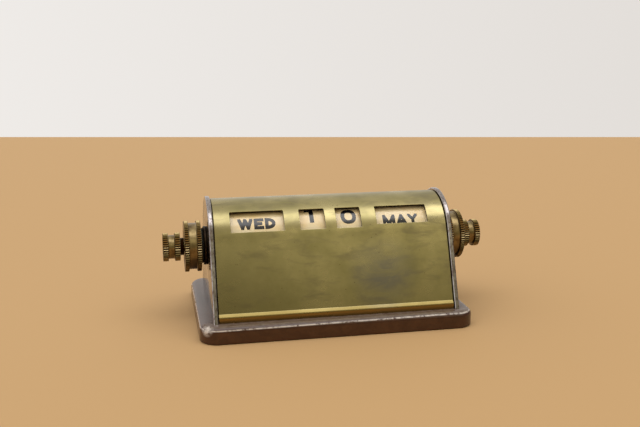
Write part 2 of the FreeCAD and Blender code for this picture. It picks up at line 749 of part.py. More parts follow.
def make_nut(index, x, y, stack):
    """Hexagon nut on top of the sheet that the screw holds down."""
    seat = f"(Sizes.base_thickness + {stack})"
    hexagon = doc.addObject("Part::Prism", f"nut_hexagon_{index}")
    hexagon.Polygon = 6
    hexagon.setExpression("Circumradius", "Sizes.nut_across_corners / 2")
    hexagon.setExpression("Height", "Sizes.nut_thickness")
    place_by(hexagon, x, y, seat)
    radius = "Sizes.screw_diameter / 2 + Sizes.fit_clearance"
    bore = add_cylinder(f"nut_bore_{index}", radius, "Sizes.nut_thickness", x, y, seat)
    nut = doc.addObject("Part::Cut", f"nut_{index}")
    nut.Base, nut.Tool = hexagon, bore
    return nut


def make_fasteners():
    """All screws of the base as one piece group, and all nuts as another."""
    stacks = ["Sizes.plate_thickness"] * 4 + ["Sizes.cover_sheet"] * 4
    stacks += ["Sizes.bracket_thickness"] * 2
    screws = doc.addObject("Part::Compound", "base_screws")
    nuts = doc.addObject("Part::Compound", "base_nuts")
    places = list(enumerate(zip(screw_places(), stacks), start=1))
    screws.Links = [make_screw(i, x, y) for i, ((x, y), stack) in places]
    nuts.Links = [make_nut(i, x, y, stack) for i, ((x, y), stack) in places]
    screws.Label, nuts.Label = "base_screws", "base_nuts"
    return [screws, nuts]


def check_document(pieces):
    """Stop if any object failed to build or any piece has no valid shape."""
    for item in doc.Objects:
        if "Invalid" in item.State or "Error" in item.State:
            raise RuntimeError(f"{item.Label} did not build: {item.State}")
    for piece in pieces:
        if piece.Shape.isNull() or not piece.Shape.isValid():
            raise RuntimeError(f"{piece.Label} has no valid shape")
        solids = len(piece.Shape.Solids)
        print(f"{piece.Label}: {solids} solid, {piece.Shape.Volume:.1f} mm3")


pieces = [make_base(), make_end_plate("left"), make_end_plate("right"), make_cover()]
pieces += [make_centre_bracket(), make_centre_bush()]
pieces += make_bearing("left") + make_bearing("right")
pieces += make_word_drive("weekday", "left") + make_word_drive("month", "right")
pieces += make_digit_drive("tens", "left") + make_digit_drive("units", "right")
pieces += make_fasteners()
doc.recompute()
check_document(pieces)

os.makedirs("parts", exist_ok=True)
for piece in pieces:
    piece.Shape.exportStep(f"parts/{piece.Label}.step")
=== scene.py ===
"""Looks of a brass perpetual desk calendar, built round its CAD frame.

The calendar is a bent brass cover with four windows between two nickelled end
plates on a moulded base. Spool knobs at both ends turn the printed bands that
show through the windows. Sizes in the classes are millimetres. The line of the
knobs is the X axis of the frame, lifted to AXIS_HEIGHT.
"""

import logging
import math
from contextlib import contextmanager
from dataclasses import dataclass, field
from enum import Enum
from typing import Callable, Dict, Iterator, List, Optional, Sequence, Tuple, Union

import bmesh
import bpy
from mathutils import Matrix, Vector

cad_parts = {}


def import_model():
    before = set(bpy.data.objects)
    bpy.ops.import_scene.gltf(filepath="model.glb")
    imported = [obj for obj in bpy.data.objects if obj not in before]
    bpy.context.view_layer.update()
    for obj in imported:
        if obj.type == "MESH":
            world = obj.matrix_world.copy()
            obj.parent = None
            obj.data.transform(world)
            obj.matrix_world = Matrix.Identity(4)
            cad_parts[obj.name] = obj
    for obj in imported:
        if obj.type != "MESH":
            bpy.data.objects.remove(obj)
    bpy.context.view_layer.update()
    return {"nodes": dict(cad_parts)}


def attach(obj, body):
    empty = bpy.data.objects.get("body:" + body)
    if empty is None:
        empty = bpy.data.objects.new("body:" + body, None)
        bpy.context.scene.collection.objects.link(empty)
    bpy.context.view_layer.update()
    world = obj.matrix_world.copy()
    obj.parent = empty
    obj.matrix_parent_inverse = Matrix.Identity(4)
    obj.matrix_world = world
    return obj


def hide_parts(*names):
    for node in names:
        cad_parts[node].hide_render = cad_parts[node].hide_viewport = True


LOG = logging.getLogger("calendar")
MM = 0.001
AXIS_HEIGHT = 36.2
SIDE_LEAN = 21.5
BASE_TOP = 8.0
# Places this close count as the same
NEAR = 0.01
# A turned cutter keeps a hair of a bore, because a ring needs a radius
CUTTER_BORE = 0.02

Tree = bpy.types.NodeTree
Socket = bpy.types.NodeSocket
Setting = Union[float, int, Sequence[float], Socket]
Piece = bpy.types.Object
Profile = Sequence[Tuple[float, float]]


class Side(Enum):
    """End of the calendar, as the sign of its X."""

    LEFT = -1
    RIGHT = 1


def metres(*sizes: float) -> Tuple[float, ...]:
    """Turn millimetres into metres."""
    return tuple(size * MM for size in sizes)


# Materials


def colour(code: str) -> Tuple[float, float, float, float]:
    """Turn an sRGB hex colour into linear values.

    Args:
        code: Six hex digits after a hash.

    Returns:
        Linear red, green, blue and full alpha.
    """
    linear = []
    for i in (1, 3, 5):
        value = int(code[i : i + 2], 16) / 255
        linear.append(value / 12.92 if value <= 0.04045 else ((value + 0.055) / 1.055) ** 2.4)
    return (linear[0], linear[1], linear[2], 1.0)


def add(
    tree: Tree,
    kind: str,
    inputs: Union[Dict[Union[str, int], Setting], Sequence[Setting]],
    output: Union[str, int] = 0,
    **settings: object,
) -> Optional[Socket]:
    """Add a shader node with its settings and links.

    Args:
        tree: Tree that gets the node.
        kind: Blender's name for the kind, without the leading ShaderNode.
        inputs: Values or output sockets for the inputs, by name or number, or
            in the order of the node's own inputs.
        output: Name or number of the output to give back.
        settings: Properties of the node itself.

    Returns:
        The chosen output socket, or None where the node has none.
    """
    node = tree.nodes.new("ShaderNode" + kind)
    for name, value in settings.items():
        setattr(node, name, value)
    for key, value in inputs.items() if isinstance(inputs, dict) else enumerate(inputs):
        if isinstance(value, bpy.types.NodeSocket):
            tree.links.new(value, node.inputs[key])
        else:
            node.inputs[key].default_value = value
    return node.outputs[output] if len(node.outputs) else None


def knob_line_distance(tree: Tree, place: Socket) -> Socket:
    """Give the distance of a place from the line of the knobs.

    Args:
        tree: Tree of the material.
        place: Place on the piece.

    Returns:
        The distance in metres.
    """
    centred = add(tree, "VectorMath", (place, (0.0, 0.0, AXIS_HEIGHT * MM)), operation="SUBTRACT")
    across = add(tree, "VectorMath", (centred, (0.0, 1.0, 1.0)), operation="MULTIPLY")
    return add(tree, "VectorMath", (across,), "Value", operation="LENGTH")


def round_patch(tree: Tree, place: Socket, centre: Tuple[float, ...], reach: float, core: float) -> Socket:
    """Mask a round patch of the surface.

    Args:
        tree: Tree of the material.
        place: Place on the piece.
        centre: Middle of the patch in millimetres.
        reach: Radius where the patch begins.
        core: Radius inside which it is full.

    Returns:
        The mask, from 0 to 1.
    """
    away = add(tree, "VectorMath", (place, metres(*centre)), "Value", operation="DISTANCE")
    return add(tree, "MapRange", (away, *metres(reach, core)))


@dataclass(frozen=True)
class Finish:
    """A material, made once and shared by the pieces that have it."""

    name: str = "finish"

    def material(self) -> bpy.types.Material:
        """Find the material by its name, or paint it on first use.

        Returns:
            The material.
        """
        made = bpy.data.materials.get(self.name)
        if not made:
            made = bpy.data.materials.new(self.name)
            made.use_nodes = True
            made.node_tree.nodes.clear()
            place = add(made.node_tree, "TexCoord", {}, "Object")
            add(made.node_tree, "OutputMaterial", {"Surface": self.surface(made.node_tree, place)})
        return made

    def surface(self, tree: Tree, place: Socket) -> Socket:
        """Paint the surface.

        Args:
            tree: Tree of the material.
            place: Place on the piece, from its Object coordinates.

        Returns:
            The shader.
        """
        raise NotImplementedError

    def layered(self, tree: Tree, ground: str, *layers: Tuple[object, ...]) -> Socket:
        """Lay colours over a ground, each where its pattern has it.

        Args:
            tree: Tree of the material.
            ground: Hex colour under all the others.
            layers: For each colour its hex code, its pattern, the levels of the
                pattern where it begins and where it is full, and its least and
                greatest strength where they aren't 0 and 1.

        Returns:
            The colour on top.
        """
        shade: Setting = colour(ground)
        for code, *levels in layers:
            mask = add(tree, "MapRange", levels)
            shade = add(tree, "Mix", {0: mask, 6: shade, 7: colour(code)}, 2, data_type="RGBA")
        return shade

    def dress(self, piece: Piece) -> None:
        """Give the piece this finish alone."""
        piece.data.materials.clear()
        piece.data.materials.append(self.material())


@dataclass(frozen=True)
class TarnishedSheetBrass(Finish):
    """Rolled sheet brass, once polished, with a handled olive tarnish.

    The eye gets a soft mirror whose gloss and colour drift in cloudy smears,
    with fine wiping marks along the sheet, a few small dark spots, punched
    edges nearly black with tarnish and painted shadow, a grey patch right of
    the middle, and painted shade on the left part, the lip and the foot.
    """

    name: str = "tarnished_sheet_brass"
    clean: str = "#BBAE7E"
    olive: str = "#999062"
    smear: str = "#8D8364"
    spot: str = "#6B5A38"
    # Painted shade over the left part of the sheet
    left_painted_shade: str = "#7D7450"
    # Near black of the cut faces, tarnish and painted shadow
    cut_edge_tarnish_and_shadow: str = "#160E08"
    # Painted shade on the upright foot and on the lip
    foot: str = "#8A6E40"
    lip: str = "#83713F"
    grey_patch: str = "#86827A"
    grey_patch_middle: Tuple[float, float, float] = (23.0, -29.5, 26.0)
    outer_radius: float = 22.8

    def surface(self, tree: Tree, place: Socket) -> Socket:
        """Mix clean and tarnished brass in clouds, and add wiping marks.

        Args:
            tree: Tree of the material.
            place: Place on the piece.

        Returns:
            The shader.
        """
        # Clouds of tarnish are 15 to 30 mm across, smears about 6 mm
        clouds = add(tree, "TexNoise", {"Vector": place, "Scale": 48.0, "Detail": 4.0, "Roughness": 0.6})
        tilted = {"Vector": place, "Scale": (0.35, 1.0, 1.0), "Rotation": (0.0, 0.25, 0.0)}
        drawn = add(tree, "Mapping", tilted)
        streaky = {"Vector": drawn, "Scale": 170.0, "Detail": 5.0, "Roughness": 0.65, "Distortion": 0.6}
        smears = add(tree, "TexNoise", streaky)
        # Corrosion spots are 0.3 to 0.8 mm
        spots = add(tree, "TexNoise", {"Vector": place, "Scale": 900.0})
        # Painted shade dims the left part of the sheet, most at the left end and low down, fading out
        # towards the crown
        x, z = (add(tree, "SeparateXYZ", (place,), axis) for axis in "XZ")
        leftward = add(tree, "MapRange", (x, *metres(-50.0, -10.0), 0.6, 0.0))
        front = add(tree, "MapRange", (z, *metres(62.0, 44.0)))
        left_painted_shade = add(tree, "Math", (leftward, front), operation="MULTIPLY")
        # The metal under the outer skin, as in the cut faces of the punched windows, is
        # near black: tarnish and painted shadow
        cut_edge_depth = metres(self.outer_radius - 0.12, self.outer_radius - 0.32)
        # A grey patch, broken by the smears, lies right of the middle
        near = round_patch(tree, place, self.grey_patch_middle, 19.0, 5.0)
        cloudy = add(tree, "MapRange", (smears, 0.3, 0.6, 0.25, 0.85))
        greyed = add(tree, "Math", (near, cloudy), operation="MULTIPLY")
        shade = self.layered(
            tree,
            self.clean,
            (self.olive, clouds, 0.36, 0.7),
            (self.smear, smears, 0.5, 0.76),
            (self.spot, spots, 0.72, 0.78),
            (self.left_painted_shade, left_painted_shade, 0.0, 1.0),
            (self.cut_edge_tarnish_and_shadow, knob_line_distance(tree, place), *cut_edge_depth),
            # Painted shade darkens the lip and the upright foot under it
            (self.lip, z, *metres(12.2, 11.6), 0.0, 0.8),
            (self.foot, z, *metres(10.9, 10.3), 0.0, 0.7),
            (self.grey_patch, greyed, 0.0, 1.0),
        )
        # Wiping marks run along the sheet, drawn 0.4 mm apart so that they show
        wiped = add(tree, "Mapping", {"Vector": place, "Scale": (0.03, 1.0, 1.0)})
        marks = add(tree, "TexNoise", {"Vector": wiped, "Scale": 2600.0, "Detail": 3.0})
        dull = add(tree, "MapRange", (clouds, 0.3, 0.75, 0.2, 0.32))
        rough = add(tree, "Math", (smears, 0.08, dull), operation="MULTIPLY_ADD")
        # The sheet is hand bent: its surface wanders by hundredths of a mm over 20 mm
        wander = add(tree, "TexNoise", {"Vector": place, "Scale": 42.0, "Detail": 1.0})
        slow = add(tree, "Bump", {"Height": wander, "Distance": 0.00035, "Strength": 0.5})
        fine = add(tree, "Bump", {"Height": marks, "Distance": 0.00001, "Strength": 0.5, "Normal": slow})
        metal = {"Base Color": shade, "Metallic": 1.0, "Roughness": rough, "Normal": fine}
        return add(tree, "BsdfPrincipled", metal)


@dataclass(frozen=True)
class HandledTurnedBrass(Finish):
    """Turned and knurled brass, browned in the hollows and rubbed on the tips.

    The eye gets bright rubbed tooth tips over dark brown grooves, patchy
    turning rings on the plain barrel, painted shade that darkens the
    underside, and on the small knob a neck painted nearly black as shadow.
    """

    name: str = "handled_turned_brass"
    rubbed: str = "#B09C70"
    # Brown of the hollows, also painted shade on the underside
    browned_and_underside_shade: str = "#422C18"
    # Dark of the knurl grooves, also painted shadow on the neck
    groove: str = "#33200F"
    radius: float = 12.35
    neck_end: float = 0.0

    def surface(self, tree: Tree, place: Socket) -> Socket:
        """Rub the tips, brown the hollows, and paint shade on the underside and the neck.

        Args:
            tree: Tree of the material.
            place: Place on the piece.

        Returns:
            The shader.
        """
        depth = add(tree, "Math", (self.radius * MM, knob_line_distance(tree, place)), operation="SUBTRACT")
        tip = add(tree, "MapRange", (depth, *metres(0.4, 0.08)))
        plain = add(tree, "MapRange", (depth, *metres(0.56, 0.7)))
        clouds = add(tree, "TexNoise", {"Vector": place, "Scale": 260.0, "Detail": 4.0, "Roughness": 0.6})
        patchy = add(tree, "MapRange", (clouds, 0.36, 0.68, 0.25, 0.85))
        barrel = add(tree, "Math", (plain, patchy), operation="MULTIPLY")
        bright = add(tree, "Math", (tip, barrel), operation="MAXIMUM", use_clamp=True)
        x, z = (add(tree, "SeparateXYZ", (place,), axis) for axis in "XZ")
        # Painted shade darkens the underside, in broken patches
        under = add(tree, "MapRange", (z, *metres(AXIS_HEIGHT + 1.0, AXIS_HEIGHT - 8.0)))
        broken = add(tree, "MapRange", (clouds, 0.36, 0.6, 0.3, 0.95))
        underside_shade = add(tree, "Math", (under, broken), operation="MULTIPLY")
        layers = [
            (self.browned_and_underside_shade, plain, 0.0, 1.0),
            (self.rubbed, bright, 0.0, 1.0),
            (self.browned_and_underside_shade, underside_shade, 0.0, 1.0),
        ]
        if self.neck_end:
            # Painted shadow: the neck behind the knob, in the gap by the large knob, is nearly black
            out = add(tree, "Math", (x,), operation="ABSOLUTE")
            layers.append((self.groove, out, *metres(self.neck_end, self.neck_end - 0.05)))
        shade = self.layered(tree, self.groove, *layers)
        # Turning rings are drawn 0.25 mm apart, coarser than the tool's feed
        rings = add(tree, "Mapping", {"Vector": place, "Scale": (1.0, 0.02, 0.02)})
        ring = add(tree, "TexNoise", {"Vector": rings, "Scale": 4000.0})
        rough = add(tree, "MapRange", (clouds, 0.0, 1.0, 0.4, 0.22))
        bump = add(tree, "Bump", {"Height": ring, "Distance": 0.00002, "Strength": 0.4})
        metal = {"Base Color": shade, "Metallic": 1.0, "Roughness": rough, "Normal": bump}
        return add(tree, "BsdfPrincipled", metal)


@dataclass(frozen=True)
class WornNickelPlate(Finish):
    """Nickel plating on pressed sheet, bright but scuffed and pitted.

    The eye gets a cool grey mirror with hairline scratches, dull patches,
    dark pits and rusty scratches where the plating has failed.
    """

    name: str = "worn_nickel_plate"
    bright: str = "#B1ABAA"
    dull: str = "#766C6A"
    pit: str = "#4C423E"
    rust: str = "#5A3F38"

    def surface(self, tree: Tree, place: Socket) -> Socket:
        """Mix bright and dull nickel, and add pits and hairlines.

        Args:
            tree: Tree of the material.
            place: Place on the piece.

        Returns:
            The shader.
        """
        clouds = add(tree, "TexNoise", {"Vector": place, "Scale": 130.0, "Detail": 5.0, "Roughness": 0.7})
        # Pits are 0.3 to 0.6 mm across
        pits = add(tree, "TexNoise", {"Vector": place, "Scale": 1100.0, "Detail": 3.0})
        # Hairlines run up the plate, drawn 0.3 mm apart so that they show, and
        # rust has crept along the wider scratches, about 1 mm apart
        up = add(tree, "Mapping", {"Vector": place, "Scale": (1.0, 1.0, 0.04), "Rotation": (0.35, 0.0, 0.0)})
        hair = add(tree, "TexNoise", {"Vector": up, "Scale": 3200.0})
        wide = add(tree, "TexNoise", {"Vector": up, "Scale": 1400.0, "Detail": 3.0})
        shade = self.layered(
            tree,
            self.bright,
            (self.dull, clouds, 0.4, 0.72),
            (self.pit, pits, 0.63, 0.75),
            (self.rust, wide, 0.52, 0.66, 0.0, 0.6),
        )
        rough = add(tree, "MapRange", (clouds, 0.3, 0.75, 0.1, 0.26))
        bump = add(tree, "Bump", {"Height": hair, "Distance": 0.00001, "Strength": 0.5})
        metal = {"Base Color": shade, "Metallic": 1.0, "Roughness": rough, "Normal": bump}
        return add(tree, "BsdfPrincipled", metal)


@dataclass(frozen=True)
class MouldedPhenolic(Finish):
    """Compression moulded phenolic resin, dark red brown and mottled.

    The eye gets a deep brown gloss that mirrors the room grey on top, and a
    thin broken pale line along the rounded edge, partly rubbed wear and partly
    painted highlight, with a painted highlight on the front left corner.
    """

    name: str = "moulded_phenolic"
    deep: str = "#3B1B0A"
    mottle: str = "#4A2814"
    # Pale of the edge line, wear and painted highlight, and of the painted corner highlight
    rubbed: str = "#D9CFC8"
    dust: str = "#8F8379"
    corner_highlight_middle: Tuple[float, float, float] = (-62.4, -39.6, 7.0)

    def surface(self, tree: Tree, place: Socket) -> Socket:
        """Mottle the resin, paint a pale line of wear and highlight along its edge and a highlight on one
        corner.

        Args:
            tree: Tree of the material.
            place: Place on the piece.

        Returns:
            The shader.
        """
        # Mottle of the wood flour filler is 3 to 10 mm
        swirled = {"Vector": place, "Scale": 150.0, "Detail": 5.0, "Roughness": 0.6, "Distortion": 0.8}
        flow = add(tree, "TexNoise", swirled)
        worn = add(tree, "TexNoise", {"Vector": place, "Scale": 420.0, "Detail": 5.0, "Roughness": 0.7})
        x, y, z = (add(tree, "SeparateXYZ", (place,), axis) for axis in "XYZ")
        # A pale line, partly rubbed wear and partly painted highlight, climbs the
        # round of the edge from 6.6 mm at the left to 7.3 mm
        line = add(tree, "MapRange", (x, *metres(-52.0, 47.0, 6.6, 7.3)))
        above = add(tree, "Math", (z, line), operation="SUBTRACT")
        off = add(tree, "Math", (above,), operation="ABSOLUTE")
        band = add(tree, "MapRange", (off, *metres(0.4, 0.1)))
        # A painted highlight lies on the round of the front left corner
        corner_highlight = round_patch(tree, place, self.corner_highlight_middle, 3.6, 1.2)
        either = add(tree, "Math", (band, corner_highlight), operation="MAXIMUM")
        patch = add(tree, "MapRange", (worn, 0.36, 0.54))
        edge = add(tree, "Math", (either, patch), operation="MULTIPLY", use_clamp=True)
        # Dust and polish cling to the flat top, most of all in front of the cover
        top = add(tree, "MapRange", (z, *metres(7.3, 7.8)))
        forward = add(tree, "MapRange", (y, *metres(-33.0, -36.5), 0.15, 0.5))
        flecked = add(tree, "MapRange", (worn, 0.3, 0.6, 0.45))
        clinging = add(tree, "Math", (top, forward), operation="MULTIPLY")
        dusted = add(tree, "Math", (clinging, flecked), operation="MULTIPLY")
        shade = self.layered(
            tree,
            self.deep,
            (self.mottle, flow, 0.42, 0.7),
            (self.dust, dusted, 0.0, 1.0),
            (self.rubbed, edge, 0.0, 1.0, 0.0, 0.85),
        )
        dull = add(tree, "MapRange", (flow, 0.3, 0.75, 0.14, 0.26))
        rough = add(tree, "Math", (edge, 0.15, dull), operation="MULTIPLY_ADD")
        bump = add(tree, "Bump", {"Height": worn, "Distance": 0.00004, "Strength": 0.4})
        resin = {"Base Color": shade, "Roughness": rough, "IOR": 1.55, "Normal": bump}
        return add(tree, "BsdfPrincipled", resin)


@dataclass(frozen=True)
class AgedPaper(Finish):
    """Varnished label paper, yellowed and foxed.

    The eye gets a cream that drifts from peach to straw under a worn varnish,
    with fibre fleck and faint brown foxing.
    """

    name: str = "aged_paper"
    cream: str = "#FFEBC2"
    straw: str = "#FBDDA2"
    foxing: str = "#C79C62"

    def surface(self, tree: Tree, place: Socket) -> Socket:
        """Drift the paper's colour, fleck it and varnish it.

        Args:
            tree: Tree of the material.
            place: Place on the piece.

        Returns:
            The shader.
        """
        drift = add(tree, "TexNoise", {"Vector": place, "Scale": 120.0, "Detail": 3.0})
        fox = add(tree, "TexNoise", {"Vector": place, "Scale": 520.0, "Detail": 4.0, "Roughness": 0.7})
        layers = [(self.straw, drift, 0.4, 0.7), (self.foxing, fox, 0.6, 0.8, 0.0, 0.6)]
        # Fibres are drawn 0.15 mm thick, coarser than real ones
        fibre = add(tree, "TexNoise", {"Vector": place, "Scale": 6500.0})
        varnished = {
            "Base Color": self.layered(tree, self.cream, *layers),
            "Roughness": 0.7,
            "Coat Weight": 0.6,
            "Coat IOR": 1.8,
            "Coat Roughness": 0.14,
            "Normal": add(tree, "Bump", {"Height": fibre, "Distance": 0.00002, "Strength": 0.3}),
        }
        return add(tree, "BsdfPrincipled", varnished)


@dataclass(frozen=True)
class PrintingInk(Finish):
    """Blue black letterpress ink under varnish, thick enough to shine.

    The eye gets near black letters whose upper parts turn lilac grey where
    they mirror the light.
    """

    name: str = "printing_ink"
    dark: str = "#101016"
    thin: str = "#2E2C36"

    def surface(self, tree: Tree, place: Socket) -> Socket:
        """Thin the ink in small patches.

        Args:
            tree: Tree of the material.
            place: Place on the piece.

        Returns:
            The shader.
        """
        wear = add(tree, "TexNoise", {"Vector": place, "Scale": 1500.0, "Detail": 3.0})
        shade = self.layered(tree, self.dark, (self.thin, wear, 0.5, 0.75))
        rough = add(tree, "MapRange", (wear, 0.0, 1.0, 0.1, 0.24))
        return add(tree, "BsdfPrincipled", {"Base Color": shade, "Roughness": rough, "IOR": 1.7})


@dataclass(frozen=True)
class TurnedBeech(Finish):
    """Turned beech, sanded and left bare.

    The eye gets a warm tan with short darker flecks along the grain.
    """

    name: str = "turned_beech"
    pale: str = "#CBA373"
    fleck: str = "#9A6B3F"

    def surface(self, tree: Tree, place: Socket) -> Socket:
        """Draw growth bands and ray flecks along the turning.

        Args:
            tree: Tree of the material.
            place: Place on the piece.

        Returns:
            The shader.
        """
        along = add(tree, "Mapping", {"Vector": place, "Scale": (0.12, 1.0, 1.0)})
        # Growth bands are about 2 mm, ray flecks 0.4 mm wide
        band = add(tree, "TexNoise", {"Vector": along, "Scale": 480.0, "Detail": 3.0, "Distortion": 0.5})
        fleck = add(tree, "TexNoise", {"Vector": along, "Scale": 2400.0})
        dark = add(tree, "Math", (band, fleck), operation="MULTIPLY")
        shade = self.layered(tree, self.pale, (self.fleck, dark, 0.18, 0.42))
        bump = add(tree, "Bump", {"Height": fleck, "Distance": 0.00004, "Strength": 0.4})
        return add(tree, "BsdfPrincipled", {"Base Color": shade, "Roughness": 0.62, "Normal": bump})


@dataclass(frozen=True)
class GrainedSolid(Finish):
    """A plain solid stock whose colour and gloss drift in small grains."""

    name: str = "grained_solid"
    main: str = "#808080"
    other: str = "#606060"
    grain: float = 1.5
    metallic: float = 1.0
    roughness: float = 0.4

    def surface(self, tree: Tree, place: Socket) -> Socket:
        """Drift between the two shades over the grain's size.

        Args:
            tree: Tree of the material.
            place: Place on the piece.

        Returns:
            The shader.
        """
        sized = {"Vector": place, "Scale": 1000.0 / self.grain, "Detail": 5.0, "Roughness": 0.65}
        speck = add(tree, "TexNoise", sized)
        shade = self.layered(tree, self.main, (self.other, speck, 0.38, 0.68))
        rough = add(tree, "MapRange", (speck, 0.0, 1.0, self.roughness - 0.1, self.roughness + 0.12))
        bump = add(tree, "Bump", {"Height": speck, "Distance": 0.00002 * self.grain, "Strength": 0.4})
        grained = {"Base Color": shade, "Metallic": self.metallic, "Roughness": rough, "Normal": bump}
        return add(tree, "BsdfPrincipled", grained)


# Blackened brass is bronzed with sulphide: brown black with a metal sheen
BLACKENED_BRASS = GrainedSolid(
    "blackened_brass", "#2B221B", "#46382A", grain=1.2, metallic=1.0, roughness=0.42
)
# Vulcanised fibre is pressed cotton board: matt, nearly black
BLACK_FIBRE = GrainedSolid("black_fibre", "#1B1817", "#2C2725", grain=0.7, metallic=0.0, roughness=0.62)
# Turned bushes stay bright yellow where they are shut away from the air
BEARING_BRASS = GrainedSolid("bearing_brass", "#C4A860", "#9C8246", grain=2.0, metallic=1.0, roughness=0.34)
# Mild steel screws and brackets are grey with a bloom of brown
MILD_STEEL = GrainedSolid("mild_steel", "#9A9690", "#6B5F54", grain=1.6, metallic=1.0, roughness=0.42)


# Bench operations


def select(*pieces: Piece) -> None:
    """Select these pieces and no others.

    Args:
        pieces: Pieces to select, the first of them active.
    """
    bpy.ops.object.select_all(action="DESELECT")
    for piece in pieces[::-1]:
        piece.select_set(True)
        bpy.context.view_layer.objects.active = piece


@contextmanager
def on_bench(piece: Piece) -> Iterator[None]:
    """Open the mesh of one piece with nothing picked, and close it after.

    Args:
        piece: Piece to work on.

    Returns:
        The context in which its mesh is open.
    """
    select(piece)
    bpy.ops.object.mode_set(mode="EDIT")
    bpy.ops.mesh.select_all(action="DESELECT")
    yield
    bpy.ops.object.mode_set(mode="OBJECT")


def named_primitive(name: str) -> Piece:
    """Name the primitive just added and settle its place into its mesh.

    Args:
        name: Name of the piece.

    Returns:
        The piece.
    """
    piece = bpy.context.view_layer.objects.active
    piece.name = piece.data.name = name
    bpy.ops.object.transform_apply(location=True, rotation=True, scale=True)
    return piece


def joined(*pieces: Piece) -> Piece:
    """Join pieces into one.

    Args:
        pieces: Pieces to join, the first of which takes in the others.

    Returns:
        The joined piece.
    """
    select(*pieces)
    if len(pieces) > 1:
        bpy.ops.object.join()
    return bpy.context.view_layer.objects.active


def pick(piece: Piece, kind: str, test: Callable[[object], bool]) -> None:
    """Pick the vertices, edges or faces of the open mesh that pass a test.

    Args:
        piece: Piece whose mesh is open.
        kind: VERT, EDGE or FACE.
        test: Tells whether an element is picked.
    """
    bpy.ops.mesh.select_mode(type=kind)
    bpy.ops.mesh.select_all(action="DESELECT")
    mesh = bmesh.from_edit_mesh(piece.data)
    for part in {"VERT": mesh.verts, "EDGE": mesh.edges, "FACE": mesh.faces}[kind]:
        if test(part):
            part.select_set(True)
    mesh.select_flush_mode()
    bmesh.update_edit_mesh(piece.data)


def middle(edge: bmesh.types.BMEdge) -> Vector:
    """Give an edge's middle, in millimetres."""
    return (edge.verts[0].co + edge.verts[1].co) / 2 / MM


def run_of(edge: bmesh.types.BMEdge) -> Vector:
    """Give how far an edge runs along each axis, in millimetres."""
    return Vector([abs(part) / MM for part in edge.verts[1].co - edge.verts[0].co])


def over_knobs(place: Vector) -> Tuple[float, float]:
    """Give a place's angle from the front and distance, about the line of the knobs."""
    y, z = place.y / MM, place.z / MM - AXIS_HEIGHT
    return math.degrees(math.atan2(z, -y)), math.hypot(y, z)


def bevel(width: float, segments: int) -> None:
    """Bevel the picked edges of the open mesh, by a width in millimetres."""
    bpy.ops.mesh.bevel(offset=width * MM, segments=segments, affect="EDGES")


def face_out() -> None:
    """Turn all faces of the open mesh outwards."""
    bpy.ops.mesh.select_all(action="SELECT")
    bpy.ops.mesh.normals_make_consistent(inside=False)


def close_shell() -> None:
    """Merge doubled points of the open mesh and turn its faces outwards."""
    bpy.ops.mesh.select_all(action="SELECT")
    bpy.ops.mesh.remove_doubles(threshold=0.002 * MM)
    face_out()


def apply_modifier(piece: Piece, kind: str, **settings: object) -> None:
    """Add one modifier to a piece and apply it at once.

    Args:
        piece: Piece that is changed.
        kind: Blender's name for the kind of modifier.
        settings: Properties of the modifier.
    """
    select(piece)
    modifier = piece.modifiers.new(kind.lower(), kind)
    for name, value in settings.items():
        setattr(modifier, name, value)
    bpy.ops.object.modifier_apply(modifier=modifier.name)


def smooth(piece: Piece, degrees: float) -> None:
    """Shade a piece smooth except across edges sharper than an angle."""
    select(piece)
    bpy.ops.object.shade_smooth_by_angle(angle=math.radians(degrees))


def soften_edges(piece: Piece, width: float, segments: int = 2, degrees: float = 50.0) -> None:
    """Break the sharp edges of a piece.

    Args:
        piece: Piece that is changed.
        width: Width of the break in millimetres.
        segments: Steps in the break.
        degrees: Edges sharper than this angle are broken.
    """
    limit = {"limit_method": "ANGLE", "angle_limit": math.radians(degrees)}
    apply_modifier(piece, "BEVEL", width=width * MM, segments=segments, use_clamp_overlap=True, **limit)


def cut_with(piece: Piece, cutter: Piece) -> None:
    """Cut a tool's shape out of a piece and throw the tool away."""
    apply_modifier(piece, "BOOLEAN", operation="DIFFERENCE", object=cutter, solver="EXACT")
    bpy.data.objects.remove(cutter)


def about_knobs(share: float) -> None:
    """Scale what is picked towards the line of the knobs, to a share."""
    bpy.ops.transform.resize(value=(1.0, share, share), center_override=(0.0, 0.0, AXIS_HEIGHT * MM))


def extrude(y: float, z: float, x: float = 0.0) -> None:
    """Extrude what is picked by a step in millimetres."""
    bpy.ops.mesh.extrude_region_move(TRANSFORM_OT_translate={"value": metres(x, y, z)})


def turned(name: str, profile: Profile, vertices: int, upright: bool = False) -> Piece:
    """Turn a closed profile about the line of the knobs, or about Z.

    Args:
        name: Name of the piece.
        profile: Places along the axis and radii in millimetres, as a closed loop.
        vertices: Points round each ring.
        upright: Turn it about Z, through the origin.

    Returns:
        The piece, its shell closed.
    """
    along = Vector((0, 0, 1)) if upright else Vector((1, 0, 0))
    centre = Vector((0, 0, 0.0 if upright else AXIS_HEIGHT))
    tilt = (0.0, 0.0 if upright else math.pi / 2, 0.0)
    place, radius = profile[0]
    select()
    bpy.ops.mesh.primitive_circle_add(
        vertices=vertices, radius=radius * MM, location=(centre + along * place) * MM, rotation=tilt
    )
    piece = named_primitive(name)
    with on_bench(piece):
        bpy.ops.mesh.select_all(action="SELECT")
        for x, r in [*profile[1:], profile[0]]:
            bpy.ops.mesh.extrude_region_move(TRANSFORM_OT_translate={"value": along * (x - place) * MM})
            share = r / radius
            across = (share, share, 1.0) if upright else (1.0, share, share)
            if abs(share - 1) > 1e-9:
                bpy.ops.transform.resize(value=across, center_override=(centre + along * x) * MM)
            place, radius = x, r
        close_shell()
    return piece


def tube(start: float, end: float, inner: float, outer: float) -> Profile:
    """Give the closed half section of a plain tube, in millimetres."""
    return [(start, inner), (start, outer), (end, outer), (end, inner)]


